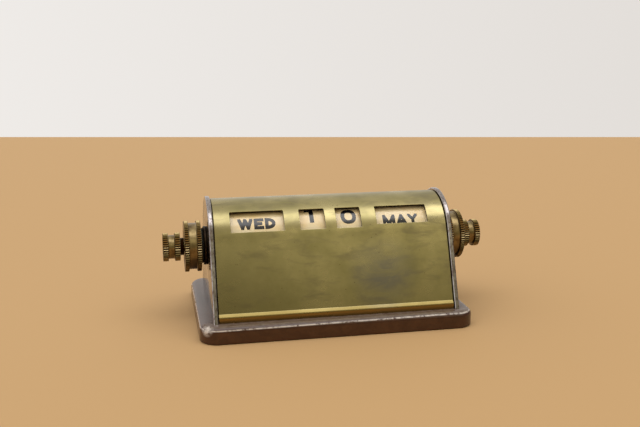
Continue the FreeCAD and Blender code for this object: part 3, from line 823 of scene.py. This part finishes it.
def copied(piece: Piece, name: str) -> Piece:
    """Copy a piece with its own mesh.

    Args:
        piece: Piece to copy.
        name: Name of the copy.

    Returns:
        The copy.
    """
    twin = piece.copy()
    twin.data = piece.data.copy()
    twin.name = twin.data.name = name
    bpy.context.scene.collection.objects.link(twin)
    return twin


def half_turned(piece: Piece) -> Piece:
    """Turn a piece half round about Z, to the other end of the calendar.

    Args:
        piece: Piece that is turned.

    Returns:
        The same piece.
    """
    with on_bench(piece):
        bpy.ops.mesh.select_all(action="SELECT")
        bpy.ops.transform.resize(value=(-1.0, -1.0, 1.0), center_override=(0.0, 0.0, 0.0))
        face_out()
    return piece


def settle(piece: Piece, body: str, finish: Finish, slot: str, *nodes: str) -> None:
    """Dress a piece and fix it to its body in the frame.

    Args:
        piece: Finished piece.
        body: CAD body that it rides on.
        finish: Its finish.
        slot: Material slot; not used.
        nodes: CAD nodes that it stands for.
    """
    finish.dress(piece)
    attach(piece, body)
    if nodes:
        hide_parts(*nodes)
    LOG.info("%s rides on %s, %d faces", piece.name, body, len(piece.data.polygons))


def side_at(radius: float, z: float) -> float:
    """Give the half depth of an arch's straight side at a height, in millimetres."""
    lean = math.radians(SIDE_LEAN)
    return (radius - (z - AXIS_HEIGHT) * math.sin(lean)) / math.cos(lean)


def tangent(radius: float) -> Tuple[float, float]:
    """Give the half depth and height where an arch's side meets its bend."""
    lean = math.radians(SIDE_LEAN)
    return radius * math.cos(lean), AXIS_HEIGHT + radius * math.sin(lean)


def bent_sheet(
    name: str, radius: float, start: float, end: float, steps: Sequence[Tuple[float, int]]
) -> Piece:
    """Bend a strip over the line of the knobs, as a single open skin.

    Args:
        name: Name of the piece.
        radius: Outer radius of the crown in millimetres.
        start: X of one end.
        end: X of the other end.
        steps: Angles to turn through and the number of steps in each.

    Returns:
        The piece, from the front tangent line over to the back one.
    """
    half_depth, z = tangent(radius)
    span = (end - start) * MM
    select()
    bpy.ops.mesh.primitive_plane_add(size=span, location=metres((start + end) / 2, -half_depth, z))
    piece = named_primitive(name)
    with on_bench(piece):
        # Only one edge of the plane is kept, laid on the front tangent line
        pick(piece, "VERT", lambda v: v.co.y > -half_depth * MM)
        bpy.ops.mesh.delete(type="VERT")
        bpy.ops.mesh.select_all(action="SELECT")
        bpy.ops.transform.translate(value=(0.0, span / 2, 0.0))
        for angle, count in steps:
            turn = {"angle": math.radians(angle), "axis": (1.0, 0.0, 0.0)}
            bpy.ops.mesh.spin(steps=count, center=(0.0, 0.0, AXIS_HEIGHT * MM), **turn)
    return piece


def draw_down(piece: Piece, near: Tuple[float, float], path: Profile) -> None:
    """Extrude the open edge at a place of the skin along a path.

    Args:
        piece: Piece whose mesh is open.
        near: Y and Z of the edge in millimetres.
        path: The Y and Z that it is drawn to, one after the other.
    """
    y, z = near
    pick(
        piece,
        "EDGE",
        lambda e: e.is_boundary and abs(middle(e).y - near[0]) < NEAR and abs(middle(e).z - near[1]) < NEAR,
    )
    for to_y, to_z in path:
        extrude(to_y - y, to_z - z)
        y, z = to_y, to_z


# Sub-assemblies


@dataclass
class Base:
    """Moulded slab with rounded edges and counterbored screw holes."""

    length: float = 130.6
    depth: float = 84.0
    thickness: float = BASE_TOP
    corner_radius: float = 8.5
    top_round: float = 2.8
    low_bevel: float = 0.5
    hole_radius: float = 1.6
    counterbore_radius: float = 3.1
    counterbore_depth: float = 2.6
    holes: List[Tuple[float, float]] = field(default_factory=list)

    def build(self) -> None:
        """Make the slab, cut its screw holes and dress it."""
        select()
        size = (self.length, self.depth, self.thickness)
        bpy.ops.mesh.primitive_cube_add(size=MM, scale=size, location=metres(0.0, 0.0, self.thickness / 2))
        slab = named_primitive("base_slab")
        with on_bench(slab):
            pick(slab, "EDGE", lambda e: run_of(e).z > 1.0)
            bevel(self.corner_radius, 12)
            pick(slab, "EDGE", lambda e: all(v.co.z > (self.thickness - NEAR) * MM for v in e.verts))
            bevel(self.top_round, 8)
            pick(slab, "EDGE", lambda e: all(v.co.z < NEAR * MM for v in e.verts))
            bevel(self.low_bevel, 1)
        cut_with(slab, self.hole_cutter())
        smooth(slab, 40.0)
        settle(slab, "case", MouldedPhenolic(), "moulded_base", "base")

    def hole_cutter(self) -> Piece:
        """Turn the tool of one counterbored hole and copy it to the others.

        Returns:
            The tools for all the holes, joined in one piece.
        """
        wide, narrow, top = self.counterbore_radius, self.hole_radius, self.thickness + 1.0
        profile = [(-1.0, CUTTER_BORE), (-1.0, wide), (self.counterbore_depth, wide)]
        profile += [(self.counterbore_depth, narrow), (top, narrow), (top, CUTTER_BORE)]
        first = turned("hole_cutter", profile, 32, upright=True)
        tools = [first] + [copied(first, "hole_cutter_copy") for _ in self.holes[1:]]
        for tool, place in zip(tools, self.holes):
            tool.data.transform(Matrix.Translation(metres(*place, 0.0)))
        return joined(*tools)


@dataclass
class EndPlate:
    """Pressed plate that closes one end and carries the bearing."""

    inner: float = 56.65
    outer: float = 58.85
    crown_radius: float = 24.0
    edge_round: float = 0.7
    hole_radius: float = 5.81
    tab_length: float = 11.0
    tab_width: float = 12.0
    tab_thickness: float = 2.2
    tab_corner: float = 2.0
    tab_offset: float = 15.0
    bend_steps: int = 64

    def build(self) -> None:
        """Make the right plate, then its twin for the left end."""
        right = self.plate()
        left = half_turned(copied(right, "plate_left"))
        settle(right, "case", WornNickelPlate(), "nickel_plate", "end_plate_right")
        settle(left, "case", WornNickelPlate(), "nickel_plate", "end_plate_left")

    def plate(self) -> Piece:
        """Bend the rim, close both faces, add the tabs and cut the bearing hole.

        Returns:
            The plate of the right end.
        """
        bend = [(180.0 - 2 * SIDE_LEAN, self.bend_steps)]
        plate = bent_sheet("plate_right", self.crown_radius, self.inner, self.outer, bend)
        y, z = tangent(self.crown_radius)
        foot = side_at(self.crown_radius, BASE_TOP)
        with on_bench(plate):
            draw_down(plate, (-y, z), [(-foot, BASE_TOP)])
            draw_down(plate, (y, z), [(foot, BASE_TOP)])
            pick(plate, "EDGE", lambda e: e.is_boundary and run_of(e).x > 1.0)
            bpy.ops.mesh.edge_face_add()
            for face_x in (self.inner, self.outer):
                pick(plate, "EDGE", lambda e: all(abs(v.co.x / MM - face_x) < NEAR for v in e.verts))
                bpy.ops.mesh.edge_face_add()
            close_shell()
            pick(plate, "EDGE", lambda e: run_of(e).x < NEAR and middle(e).z > BASE_TOP + 0.5)
            bevel(self.edge_round, 5)
        joined(plate, *(self.tab(sign * self.tab_offset) for sign in (-1, 1)))
        bearing = tube(self.inner - 1, self.outer + 1, CUTTER_BORE, self.hole_radius)
        cut_with(plate, turned("bearing_hole", bearing, 48))
        smooth(plate, 30.0)
        return plate

    def tab(self, y: float) -> Piece:
        """Make one foot tab, which is turned inwards under the cover.

        Args:
            y: Middle of the tab in millimetres.

        Returns:
            The tab.
        """
        select()
        z = BASE_TOP + self.tab_thickness / 2
        size = (self.tab_length, self.tab_width, self.tab_thickness)
        bpy.ops.mesh.primitive_cube_add(
            size=MM, scale=size, location=metres(self.inner - self.tab_length / 2, y, z)
        )
        tab = named_primitive("tab")
        with on_bench(tab):
            pick(tab, "EDGE", lambda e: run_of(e).z > 1.0 and middle(e).x < self.inner - self.tab_length / 2)
            bevel(self.tab_corner, 5)
        return tab


@dataclass
class Window:
    """Punched opening of the cover: its ends along X and its sill's angle."""

    start: float
    end: float
    sill: float = 27.5


@dataclass
class Cover:
    """Brass sheet bent over the drums, with four windows and a proud lip."""

    half_length: float = 56.25
    radius: float = 22.8
    sheet: float = 0.8
    bow: float = 0.35
    lip_height: float = 3.9
    lip_kick: float = 1.3
    lip_proud: float = 1.0
    lip_round: float = 0.5
    flange_width: float = 9.0
    window_top: float = 55.5
    windows: Tuple[Window, ...] = (
        Window(-48.55, -23.05),
        Window(-15.5, -3.3),
        Window(2.1, 14.3),
        Window(21.85, 47.35, 30.3),
    )
    window_corner: float = 0.35
    burr: float = 0.2
    drawn_in: float = 0.35
    bend_step: float = 2.0

    def rows(self) -> List[float]:
        """Give the angles of all sills and of the common top, rising."""
        return sorted({window.sill for window in self.windows}) + [self.window_top]

    def build(self) -> None:
        """Bend the sheet, punch the windows, thicken it and dress it."""
        stops = [SIDE_LEAN] + self.rows() + [180.0 - SIDE_LEAN]
        turns = [after - before for before, after in zip(stops, stops[1:])]
        arcs = [(turn, math.ceil(turn / self.bend_step)) for turn in turns]
        cover = bent_sheet("cover_sheet", self.radius, -self.half_length, self.half_length, arcs)
        with on_bench(cover):
            self.draw_feet(cover)
            self.punch_windows(cover)
            close_shell()
        apply_modifier(cover, "SOLIDIFY", thickness=self.sheet * MM, offset=-1.0, use_even_offset=True)
        with on_bench(cover):
            self.draw_in(cover)
            self.round_corners(cover)
        soften_edges(cover, self.burr, 2, 60.0)
        smooth(cover, 20.0)
        settle(cover, "case", TarnishedSheetBrass(), "cover_brass", "cover")

    def draw_feet(self, cover: Piece) -> None:
        """Draw both sides down to the base, with lip and hidden flange.

        Args:
            cover: The cover, its mesh open.
        """
        y, z = tangent(self.radius)
        lip_top = BASE_TOP + self.lip_height
        nose_top = lip_top - self.lip_kick
        nose = side_at(self.radius, nose_top) + self.lip_proud
        flange = side_at(self.radius - self.sheet, BASE_TOP) - self.flange_width
        # A hand-bent side bows out a little between the bend and the lip
        steps = 10
        path = []
        for share in (step / steps for step in range(1, steps + 1)):
            low = z + (lip_top - z) * share
            path.append((side_at(self.radius, low) + 4 * self.bow * share * (1 - share), low))
        path += [(nose, nose_top), (nose, BASE_TOP), (flange, BASE_TOP)]
        for sign in (-1, 1):
            draw_down(cover, (sign * y, z), [(sign * out, up) for out, up in path])
        pick(
            cover,
            "EDGE",
            lambda e: abs(middle(e).z - nose_top) < NEAR and abs(abs(middle(e).y) - nose) < NEAR,
        )
        bevel(self.lip_round, 5)

    def punch_windows(self, cover: Piece) -> None:
        """Split the skin at the window sides and delete the windows.

        Args:
            cover: The cover, its mesh open.
        """
        for x in (x for window in self.windows for x in (window.start, window.end)):
            bpy.ops.mesh.select_all(action="SELECT")
            bpy.ops.mesh.bisect(plane_co=metres(x, 0.0, 0.0), plane_no=(1.0, 0.0, 0.0))

        def in_window(face: bmesh.types.BMFace) -> bool:
            """Tell whether a face lies in a window.

            Args:
                face: Face of the skin.

            Returns:
                True if it is punched out.
            """
            at = face.calc_center_median()
            turn, _ = over_knobs(at)
            return any(
                window.start < at.x / MM < window.end and window.sill < turn < self.window_top
                for window in self.windows
            )

        pick(cover, "FACE", in_window)
        bpy.ops.mesh.delete(type="FACE")

    def draw_in(self, cover: Piece) -> None:
        """Draw the inner skin of the bend inwards, as the punch leaves it.

        Args:
            cover: The cover, its mesh open.
        """
        inner = self.radius - self.sheet

        def inside_bend(vertex: bmesh.types.BMVert) -> bool:
            """Tell whether a vertex is on the inner skin, in front of the crown."""
            turn, reach = over_knobs(vertex.co)
            return abs(reach - inner) < 0.05 and SIDE_LEAN + 1.0 < turn < 90.0

        pick(cover, "VERT", inside_bend)
        about_knobs((inner - self.drawn_in) / inner)

    def round_corners(self, cover: Piece) -> None:
        """Round the corners that the punch leaves in each window.

        Args:
            cover: The cover, its mesh open.
        """
        sides = [x for window in self.windows for x in (window.start, window.end)]

        def corner(edge: bmesh.types.BMEdge) -> bool:
            """Tell whether an edge is a window's corner, across the sheet.

            Args:
                edge: Edge of the thick sheet.

            Returns:
                True if it is rounded.
            """
            if any(min(abs(v.co.x / MM - x) for x in sides) > NEAR for v in edge.verts):
                return False
            (turn, reach), (other_turn, other_reach) = (over_knobs(v.co) for v in edge.verts)
            at_row = all(min(abs(at - row) for row in self.rows()) < 0.3 for at in (turn, other_turn))
            return at_row and abs(reach - other_reach) > self.sheet / 2

        pick(cover, "EDGE", corner)
        bevel(self.window_corner, 4)


@dataclass
class SpoolKnob:
    """Knob of two knurled discs and a plain barrel, turned from one bar."""

    name: str
    start: float
    length: float
    rim: float
    barrel: float
    disc: float
    bore: float
    teeth: int
    boss: float = 0.0
    boss_start: float = 0.0
    knurl: float = 0.52
    edge_break: float = 0.25
    fillet: float = 0.25
    dish: float = 0.25
    dish_top: float = 0.72
    dish_floor: float = 0.68

    def profile(self) -> Profile:
        """Give the closed half section, from the bore round to the bore.

        Returns:
            Places along the axis and radii in millimetres.
        """
        end = self.start + self.length
        inner, outer = self.start + self.disc, end - self.disc
        section = [(self.start, self.rim), (inner, self.rim)]
        section += [(inner, self.barrel + self.fillet), (inner + self.fillet, self.barrel)]
        section += [(outer - self.fillet, self.barrel), (outer, self.barrel + self.fillet)]
        section += [(outer, self.rim), (end, self.rim), (end, self.rim * self.dish_top)]
        section += [(end - self.dish, self.rim * self.dish_floor), (end - self.dish, self.bore)]
        if self.boss:
            section += [(self.boss_start, self.bore), (self.boss_start, self.boss)]
        return section + [(self.start, self.boss or self.bore)]

    def build(self, side: Side, body: str, finish: Finish, node: str) -> None:
        """Turn the knob, break its edges, cut the knurling and dress it.

        Args:
            side: End of the calendar that it is at.
            body: CAD body that it rides on.
            finish: Its finish.
            node: CAD node that it stands for.
        """
        knob = turned(self.name, self.profile(), self.teeth * 2)
        soften_edges(knob, self.edge_break)
        self.cut_knurling(knob)
        if side is Side.LEFT:
            half_turned(knob)
        smooth(knob, 30.0)
        settle(knob, body, finish, "knob_brass", node)

    def cut_knurling(self, knob: Piece) -> None:
        """Press every second line of the rims inwards, which leaves teeth.

        Args:
            knob: Knob with plain rims.
        """
        step = 180.0 / self.teeth

        def groove(vertex: bmesh.types.BMVert) -> bool:
            """Tell whether a vertex of a rim lies in a groove."""
            turn, reach = over_knobs(vertex.co)
            return reach > self.rim - 0.02 and round((180.0 - turn) / step) % 2 == 1

        with on_bench(knob):
            pick(knob, "VERT", groove)
            about_knobs((self.rim - self.knurl) / self.rim)


# Each stroke is a run of places on a grid of four by four, x before y. A tilde
# eases the run into a curve and an at sign closes it into a ring.
GLYPHS = {
    "A": "00 24 40|11 31",
    "B": "00 04|~04 34 32 02|~02 42 40 00",
    "C": "~43 44 04 00 40 41",
    "D": "00 04|~04 44 40 00",
    "E": "44 04 00 40|02 32",
    "F": "44 04 00|02 32",
    "G": "~43 44 04 00 40 42|42 22",
    "H": "00 04|40 44|02 42",
    "I": "00 04",
    "J": "~44 41 40 00 01",
    "L": "04 00 40",
    "M": "00 04 20 44 40",
    "N": "00 04 40 44",
    "O": "@04 44 40 00",
    "P": "00 04|~04 44 42 02",
    "R": "00 04|~04 44 42 02|22 40",
    "S": "~43 44 04 02 42 40 00 01",
    "T": "04 44|24 20",
    "U": "~04 01 00 40 41 44",
    "V": "04 20 44",
    "W": "04 10 24 30 44",
    "Y": "04 22 44|22 20",
    "0": "@04 44 40 00",
    "1": "04 44 40",
    "2": "~03 04 44 42 00|00 40",
    "3": "~03 04 44 42 22|~22 42 40 00 01",
    "4": "30 34 01 41",
    "5": "44 04 02|~02 42 40 00 01",
    "6": "~43 44 04 00 40 42 02",
    "7": "04 44 10",
    "8": "@04 44 42 02|@02 42 40 00",
    "9": "~01 00 40 44 04 02 42",
}
LETTER_WIDTH = 4.7
DIGIT_WIDTH = 7.0
GLYPH_WIDTHS = {"W": 7.2, "M": 6.2, "A": 5.3, "Y": 5.0, "V": 5.2, "D": 5.0, "N": 5.0, "J": 4.0, "I": 1.65}
GLYPH_WIDTHS.update({"0": 7.6, "1": 4.35}, **dict.fromkeys("23456789", DIGIT_WIDTH))


def eased(run: List[Vector], ring: bool, steps: int = 6) -> List[Vector]:
    """Ease a run of places into arcs that join halfway between them.

    Args:
        run: Places of the run.
        ring: Whether it closes on itself.
        steps: Steps in each arc.

    Returns:
        Places along the curve.
    """
    count = len(run)
    line = [] if ring else [run[0]]
    for i in range(count) if ring else range(1, count - 1):
        before, bend, after = run[i - 1], run[i], run[(i + 1) % count]
        start = (before + bend) / 2 if ring or i > 1 else before
        end = (bend + after) / 2 if ring or i < count - 2 else after
        for share in (step / steps for step in range(1, steps + 1)):
            line.append(start.lerp(bend, share).lerp(bend.lerp(end, share), share))
    return line


def offset(line: List[Vector], reach: float, ring: bool) -> List[Vector]:
    """Shift a line sideways, with mitred corners.

    Args:
        line: Places along the line.
        reach: How far it is shifted, to the left where positive.
        ring: Whether it closes on itself.

    Returns:
        The shifted places.
    """
    count = len(line)
    shifted = []
    for i, place in enumerate(line):
        ways = []
        if ring or i > 0:
            ways.append((place - line[i - 1]).normalized())
        if ring or i < count - 1:
            ways.append((line[(i + 1) % count] - place).normalized())
        normal = Vector((-ways[0].y, ways[0].x))
        side = normal + Vector((-ways[-1].y, ways[-1].x))
        shifted.append(place + side * (reach / side.dot(normal)))
    return shifted


def clipped(outline: List[Vector], axis: int, limit: float, keep: int) -> List[Vector]:
    """Cut an outline straight at a limit.

    Args:
        outline: Corners of the closed outline.
        axis: 0 to cut at an x, 1 to cut at a y.
        limit: Where it is cut.
        keep: 1 to keep what is below the limit, -1 to keep what is above.

    Returns:
        The corners that are kept, with new ones at the cut.
    """
    kept = []
    for i, place in enumerate(outline):
        before = outline[i - 1]
        inside, was_inside = (keep * (limit - at[axis]) >= 0 for at in (place, before))
        if inside != was_inside:
            kept.append(before.lerp(place, (limit - before[axis]) / (place[axis] - before[axis])))
        if inside:
            kept.append(place)
    return kept


@dataclass
class Glyph:
    """One letter or digit, drawn with a broad pen."""

    letter: str
    width: float
    height: float
    stroke: float
    square_end: float = 0.5
    slanting_end: float = 1.1

    def strokes(self) -> List[List[List[Vector]]]:
        """Give the outlines of every stroke, in millimetres."""
        return [self.outlines(run) for run in GLYPHS[self.letter].split("|")]

    def outlines(self, run: str) -> List[List[Vector]]:
        """Outline one stroke, cut off at the edges of the letter's box.

        Args:
            run: The stroke, as GLYPHS writes it.

        Returns:
            One closed outline, or two for a ring.
        """
        half, ring = self.stroke / 2, run.startswith("@")
        across, up = (self.width - self.stroke) / 4, (self.height - self.stroke) / 4
        line = [Vector((half + int(x) * across, half + int(y) * up)) for x, y in run.lstrip("~@").split()]
        if run[0] in "~@":
            line = eased(line, ring)
        if ring:
            loops = [offset(line, half, True), offset(line, -half, True)]
        else:
            self.lengthen(line)
            loops = [offset(line, half, False) + offset(line, -half, False)[::-1]]
        for axis, size in ((0, self.width), (1, self.height)):
            loops = [clipped(clipped(loop, axis, size, 1), axis, 0.0, -1) for loop in loops]
        return loops

    def lengthen(self, line: List[Vector]) -> None:
        """Run open ends on by half the stroke, and slanting ones further.

        Args:
            line: Places along the stroke, whose ends are moved.
        """
        for end, near in ((0, 1), (-1, -2)):
            way = line[end] - line[near]
            slanting = min(abs(way.x), abs(way.y)) > 0.2 * way.length
            at_edge = not self.stroke < line[end].y < self.height - self.stroke
            share = self.slanting_end if slanting and at_edge else self.square_end
            line[end] = line[end] + way.normalized() * self.stroke * share


@dataclass
class BandPrint:
    """The words or digits printed round one band."""

    name: str
    words: Sequence[str]
    pitch: float
    middle_x: float
    first_angle: float
    height: float
    stroke: float
    gap: float = 1.0
    radius: float = 20.2
    ink: float = 0.03
    slice_height: float = 0.5
    overlay: float = 0.002

    def build(self) -> None:
        """Print every word, wrap it on the band and join them in one piece."""
        prints = []
        for index, word in enumerate(self.words):
            if word:
                prints.append(self.flat_word(word, f"{self.name}_{index}"))
                self.wrap(prints[-1], self.first_angle - index * self.pitch)
        lettering = joined(*prints)
        lettering.name = f"{self.name}_print"
        settle(lettering, f"{self.name}_drive", PrintingInk(), "printed_paper")

    def flat_word(self, word: str, name: str) -> Piece:
        """Cut one word out of thin ink, flat on the plane of the table.

        Args:
            word: Letters or digits.
            name: Name of the piece.

        Returns:
            The word, its middle at the origin.
        """
        widths = [GLYPH_WIDTHS.get(letter, LETTER_WIDTH) for letter in word]
        place = -(sum(widths) + self.gap * (len(word) - 1)) / 2
        strokes = []
        for letter, width in zip(word, widths):
            for turn, loops in enumerate(Glyph(letter, width, self.height, self.stroke).strokes()):
                strokes.append(self.pen_stroke(loops, place, name))
                # Strokes that cross lie a hair apart, so that no points coincide
                strokes[-1].location.z = turn * self.overlay
            place += width + self.gap
        select(*strokes)
        bpy.ops.object.convert(target="MESH")
        flat = joined(*strokes)
        flat.scale = (MM, MM, MM)
        bpy.ops.object.transform_apply(location=True, rotation=True, scale=True)
        with on_bench(flat):
            count = int(self.height / self.slice_height) + 1
            for i in range(-count // 2, count // 2 + 1):
                bpy.ops.mesh.select_all(action="SELECT")
                level = metres(0.0, i * self.slice_height, 0.0)
                bpy.ops.mesh.bisect(plane_co=level, plane_no=(0.0, 1.0, 0.0))
            bpy.ops.mesh.select_all(action="SELECT")
            extrude(0.0, self.ink)
            face_out()
        return flat

    def pen_stroke(self, loops: List[List[Vector]], place: float, name: str) -> Piece:
        """Fill one stroke's outlines as a flat curve, a thousand times life size.

        Args:
            loops: Outlines of the stroke in millimetres.
            place: Left edge of its letter in the word.
            name: Name of the word.

        Returns:
            The curve.
        """
        curve = bpy.data.curves.new(name, "CURVE")
        curve.dimensions = "2D"
        curve.fill_mode = "BOTH"
        for loop in loops:
            spline = curve.splines.new("POLY")
            spline.points.add(len(loop) - 1)
            for point, at in zip(spline.points, loop):
                point.co = (place + at.x, at.y - self.height / 2, 0.0, 1.0)
            spline.use_cyclic_u = True
        stroke = bpy.data.objects.new(name, curve)
        bpy.context.scene.collection.objects.link(stroke)
        return stroke

    def wrap(self, flat: Piece, angle: float) -> None:
        """Bend a flat word round the band.

        Args:
            flat: The flat word.
            angle: Angle of its middle from the front, in degrees.
        """
        for vertex in flat.data.vertices:
            turn = math.radians(angle) + vertex.co.y / (self.radius * MM)
            reach = self.radius * MM + vertex.co.z
            along = self.middle_x * MM + vertex.co.x
            vertex.co = (along, -reach * math.cos(turn), AXIS_HEIGHT * MM + reach * math.sin(turn))


# The first word of each band is the one that the window shows at rest
WEEKDAYS = "WED THU FRI SAT SUN MON TUE".split()
MONTHS = "MAY JUN JUL AUG SEP OCT NOV DEC JAN FEB MAR APR".split()
# Name, words, pitch in degrees, middle along X, angle of the first word, height
# of the letters, stroke and gap
BAND_PRINTS = (
    BandPrint("weekday", WEEKDAYS, 360 / 7, -35.9, 40.8, 5.8, 1.7, 0.55),
    BandPrint("tens", ("1", "2", "3", ""), 90.0, -10.35, 50.5, 8.3, 2.1),
    BandPrint("units", "0123456789", 36.0, 8.8, 46.0, 8.0, 1.9),
    BandPrint("month", MONTHS, 30.0, 34.4, 37.7, 5.8, 1.55, 0.55),
)


@dataclass
class Drives:
    """The four coaxial drives: knob, washer and printed band of each."""

    ring_inner: float = 58.85
    ring_outer: float = 60.35
    ring_radius: float = 9.4
    bush_radius: float = 5.81
    washer_start: float = 60.4
    washer_end: float = 61.6
    washer_radius: float = 8.5
    ring_bevel: float = 0.45
    sleeve_radius: float = 3.81
    ring_points: int = 96

    def build(self) -> None:
        """Make knobs, rings and washers of both ends, and the lettering."""
        rubbed_large = HandledTurnedBrass()
        rubbed_small = HandledTurnedBrass("handled_turned_brass_small", radius=6.85, neck_end=71.45)
        for side, word, digit in ((Side.LEFT, "weekday", "tens"), (Side.RIGHT, "month", "units")):
            sizes = {"start": 61.6, "length": 8.0, "rim": 12.35, "barrel": 11.2, "disc": 2.1, "bore": 2.46}
            large = SpoolKnob(f"{word}_spool", teeth=65, **sizes)
            large.build(side, f"{word}_drive", rubbed_large, f"{word}_knob")
            sizes = {"start": 71.5, "length": 8.3, "rim": 6.85, "barrel": 5.7, "disc": 2.65, "bore": 0.3}
            small = SpoolKnob(f"{digit}_spool", teeth=36, boss=4.2, boss_start=69.65, **sizes)
            small.build(side, f"{digit}_drive", rubbed_small, f"{digit}_knob")
            self.rings(side, word)
        for band_print in BAND_PRINTS:
            band_print.build()

    def rings(self, side: Side, word: str) -> None:
        """Turn the ring nut on the plate and the washer beside the knob.

        Args:
            side: End of the calendar that they are at.
            word: Band that the large knob of this end turns.
        """
        end = side.name.lower()
        section = tube(self.ring_inner, self.ring_outer, self.bush_radius, self.ring_radius)
        nut = turned(f"ring_{end}", section, self.ring_points)
        section = tube(self.washer_start, self.washer_end, self.sleeve_radius, self.washer_radius)
        washer = turned(f"{word}_friction_washer", section, self.ring_points)
        for ring in (nut, washer):
            soften_edges(ring, self.ring_bevel, 3)
            if side is Side.LEFT:
                half_turned(ring)
            smooth(ring, 30.0)
        settle(nut, "case", BLACKENED_BRASS, "dark_brass", f"ring_nut_{end}")
        settle(washer, f"{word}_drive", BLACK_FIBRE, "black_fibre", f"{word}_washer")


# Finish of each inner piece that keeps its CAD solid, by a part of its name
INNER_FINISHES = {
    "_drum": TurnedBeech(),
    "_band": AgedPaper(),
    "_sleeve": BEARING_BRASS,
    "_spindle": BEARING_BRASS,
    "bush": BEARING_BRASS,
    "bracket": MILD_STEEL,
    "screws": MILD_STEEL,
    "nuts": MILD_STEEL,
}


@dataclass
class InnerWorks:
    """Drums, sleeves, spindles, bushes and fasteners kept as CAD solids."""

    nodes: Dict[str, Piece]

    def dress(self) -> None:
        """Give every CAD node that still shows its finish."""
        for name, node in self.nodes.items():
            finish = next((made for part, made in INNER_FINISHES.items() if part in name), None)
            if finish and not node.hide_render:
                finish.dress(node)
                LOG.info("%s keeps its solid, in %s", name, finish.name)


# Stage


@dataclass
class Studio:
    """Pale table top, soft light from above and the camera."""

    floor_colour: str = "#C7A171"
    floor_size: float = 24.0
    floor_edge: float = 0.6574
    camera_place: Tuple[float, float, float] = (-85.57, -417.92, 144.6)
    camera_dip: float = 12.57
    camera_turn: float = 11.27
    camera_lens: float = 49.44
    front: Tuple[float, ...] = (0.25, 0.22, 0.13, 1.0)
    # Light by angle over the calendar, from the front horizon: where each band
    # starts to take over, where it has, and its radiance
    bands: Sequence[Tuple[float, float, Tuple[float, ...]]] = (
        (20.0, 36.0, (0.84, 0.78, 0.54, 1.0)),
        (40.0, 50.0, (0.58, 0.53, 0.4, 1.0)),
        (59.0, 69.0, (2.5, 2.46, 2.42, 1.0)),
        (86.0, 101.0, (0.75, 0.72, 0.66, 1.0)),
    )
    wall_left: Tuple[float, ...] = (0.86, 0.83, 0.8, 1.0)
    wall_right: Tuple[float, ...] = (0.77, 0.735, 0.7, 1.0)
    left_panel: Tuple[float, ...] = (1.1, 1.08, 1.05, 1.0)
    right_shade: Tuple[float, ...] = (0.25, 0.23, 0.2, 1.0)

    def build(self) -> None:
        """Lay the table top, light the room and place the camera."""
        self.floor()
        self.light()
        self.camera()

    def floor(self) -> None:
        """Lay a wide pale top whose far edge is square to the camera."""
        turn = math.radians(self.camera_turn)
        far = self.floor_edge - self.floor_size / 2
        select()
        place = (far * math.sin(turn), far * math.cos(turn), 0.0)
        bpy.ops.mesh.primitive_plane_add(size=self.floor_size, location=place, rotation=(0.0, 0.0, -turn))
        floor = named_primitive("floor")
        made = bpy.data.materials.new("pale_floor")
        made.use_nodes = True
        made.node_tree.nodes.clear()
        matt = {"Base Color": colour(self.floor_colour), "Roughness": 0.85}
        shader = add(made.node_tree, "BsdfPrincipled", matt)
        add(made.node_tree, "OutputMaterial", {"Surface": shader})
        floor.data.materials.append(made)

    def light(self) -> None:
        """Light the room from a wide soft strip overhead, dim in front."""
        world = bpy.data.worlds.new("studio")
        bpy.context.scene.world = world
        world.use_nodes = True
        tree = world.node_tree
        tree.nodes.clear()
        way = add(tree, "TexCoord", {}, "Generated")
        x, y, z = (add(tree, "SeparateXYZ", (way,), axis) for axis in "XYZ")
        front = add(tree, "Math", (y, -1.0), operation="MULTIPLY")
        turn = add(tree, "Math", (z, front), operation="ARCTAN2")
        degrees = add(tree, "Math", (turn,), operation="DEGREES")
        angle = add(tree, "Math", (degrees,), operation="ABSOLUTE")
        aside = add(tree, "MapRange", (x, -0.15, 0.52))
        wall = add(tree, "Mix", {0: aside, 6: self.wall_left, 7: self.wall_right}, 2, data_type="RGBA")
        walls = ((-0.45, -0.75, self.left_panel), (0.6, 0.85, self.right_shade))
        shade: Setting = self.front
        for place, style, lights in (
            (angle, "SMOOTHSTEP", (*self.bands, (130.0, 168.0, wall))),
            (x, "LINEAR", walls),
        ):
            for start, end, light in lights:
                blend = add(tree, "MapRange", (place, start, end), interpolation_type=style)
                shade = add(tree, "Mix", {0: blend, 6: shade, 7: light}, 2, data_type="RGBA")
        glow = add(tree, "Background", {"Color": shade, "Strength": 1.0})
        add(tree, "OutputWorld", {"Surface": glow})

    def camera(self) -> None:
        """Place the camera at the photograph's viewing angle."""
        data = bpy.data.cameras.new("camera")
        data.lens = self.camera_lens
        data.sensor_width = 36.0
        data.clip_start = 0.01
        camera = bpy.data.objects.new("camera", data)
        camera.location = metres(*self.camera_place)
        camera.rotation_euler = (math.radians(90 - self.camera_dip), 0.0, math.radians(-self.camera_turn))
        bpy.context.scene.collection.objects.link(camera)
        bpy.context.scene.camera = camera


# The same screws hold the plates' tabs, the cover's flanges and the bracket's foot
SCREW_PLACES = [
    (sx * x, sy * y)
    for x, y in ((51.15, 15.0), (36.0, 30.2483))
    for sx in (-1, 1)
    for sy in (-1, 1)
] + [(5.9, -10.0), (5.9, 10.0)]


def main() -> None:
    """Build every sub-assembly in order."""
    logging.basicConfig(level=logging.INFO, format="%(name)s: %(message)s")
    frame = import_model()
    Studio().build()
    Base(holes=SCREW_PLACES).build()
    EndPlate().build()
    Cover().build()
    Drives().build()
    InnerWorks(frame["nodes"]).dress()
    bpy.context.scene.view_settings.view_transform = "Standard"
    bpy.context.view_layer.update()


if __name__ == "__main__":
    main()
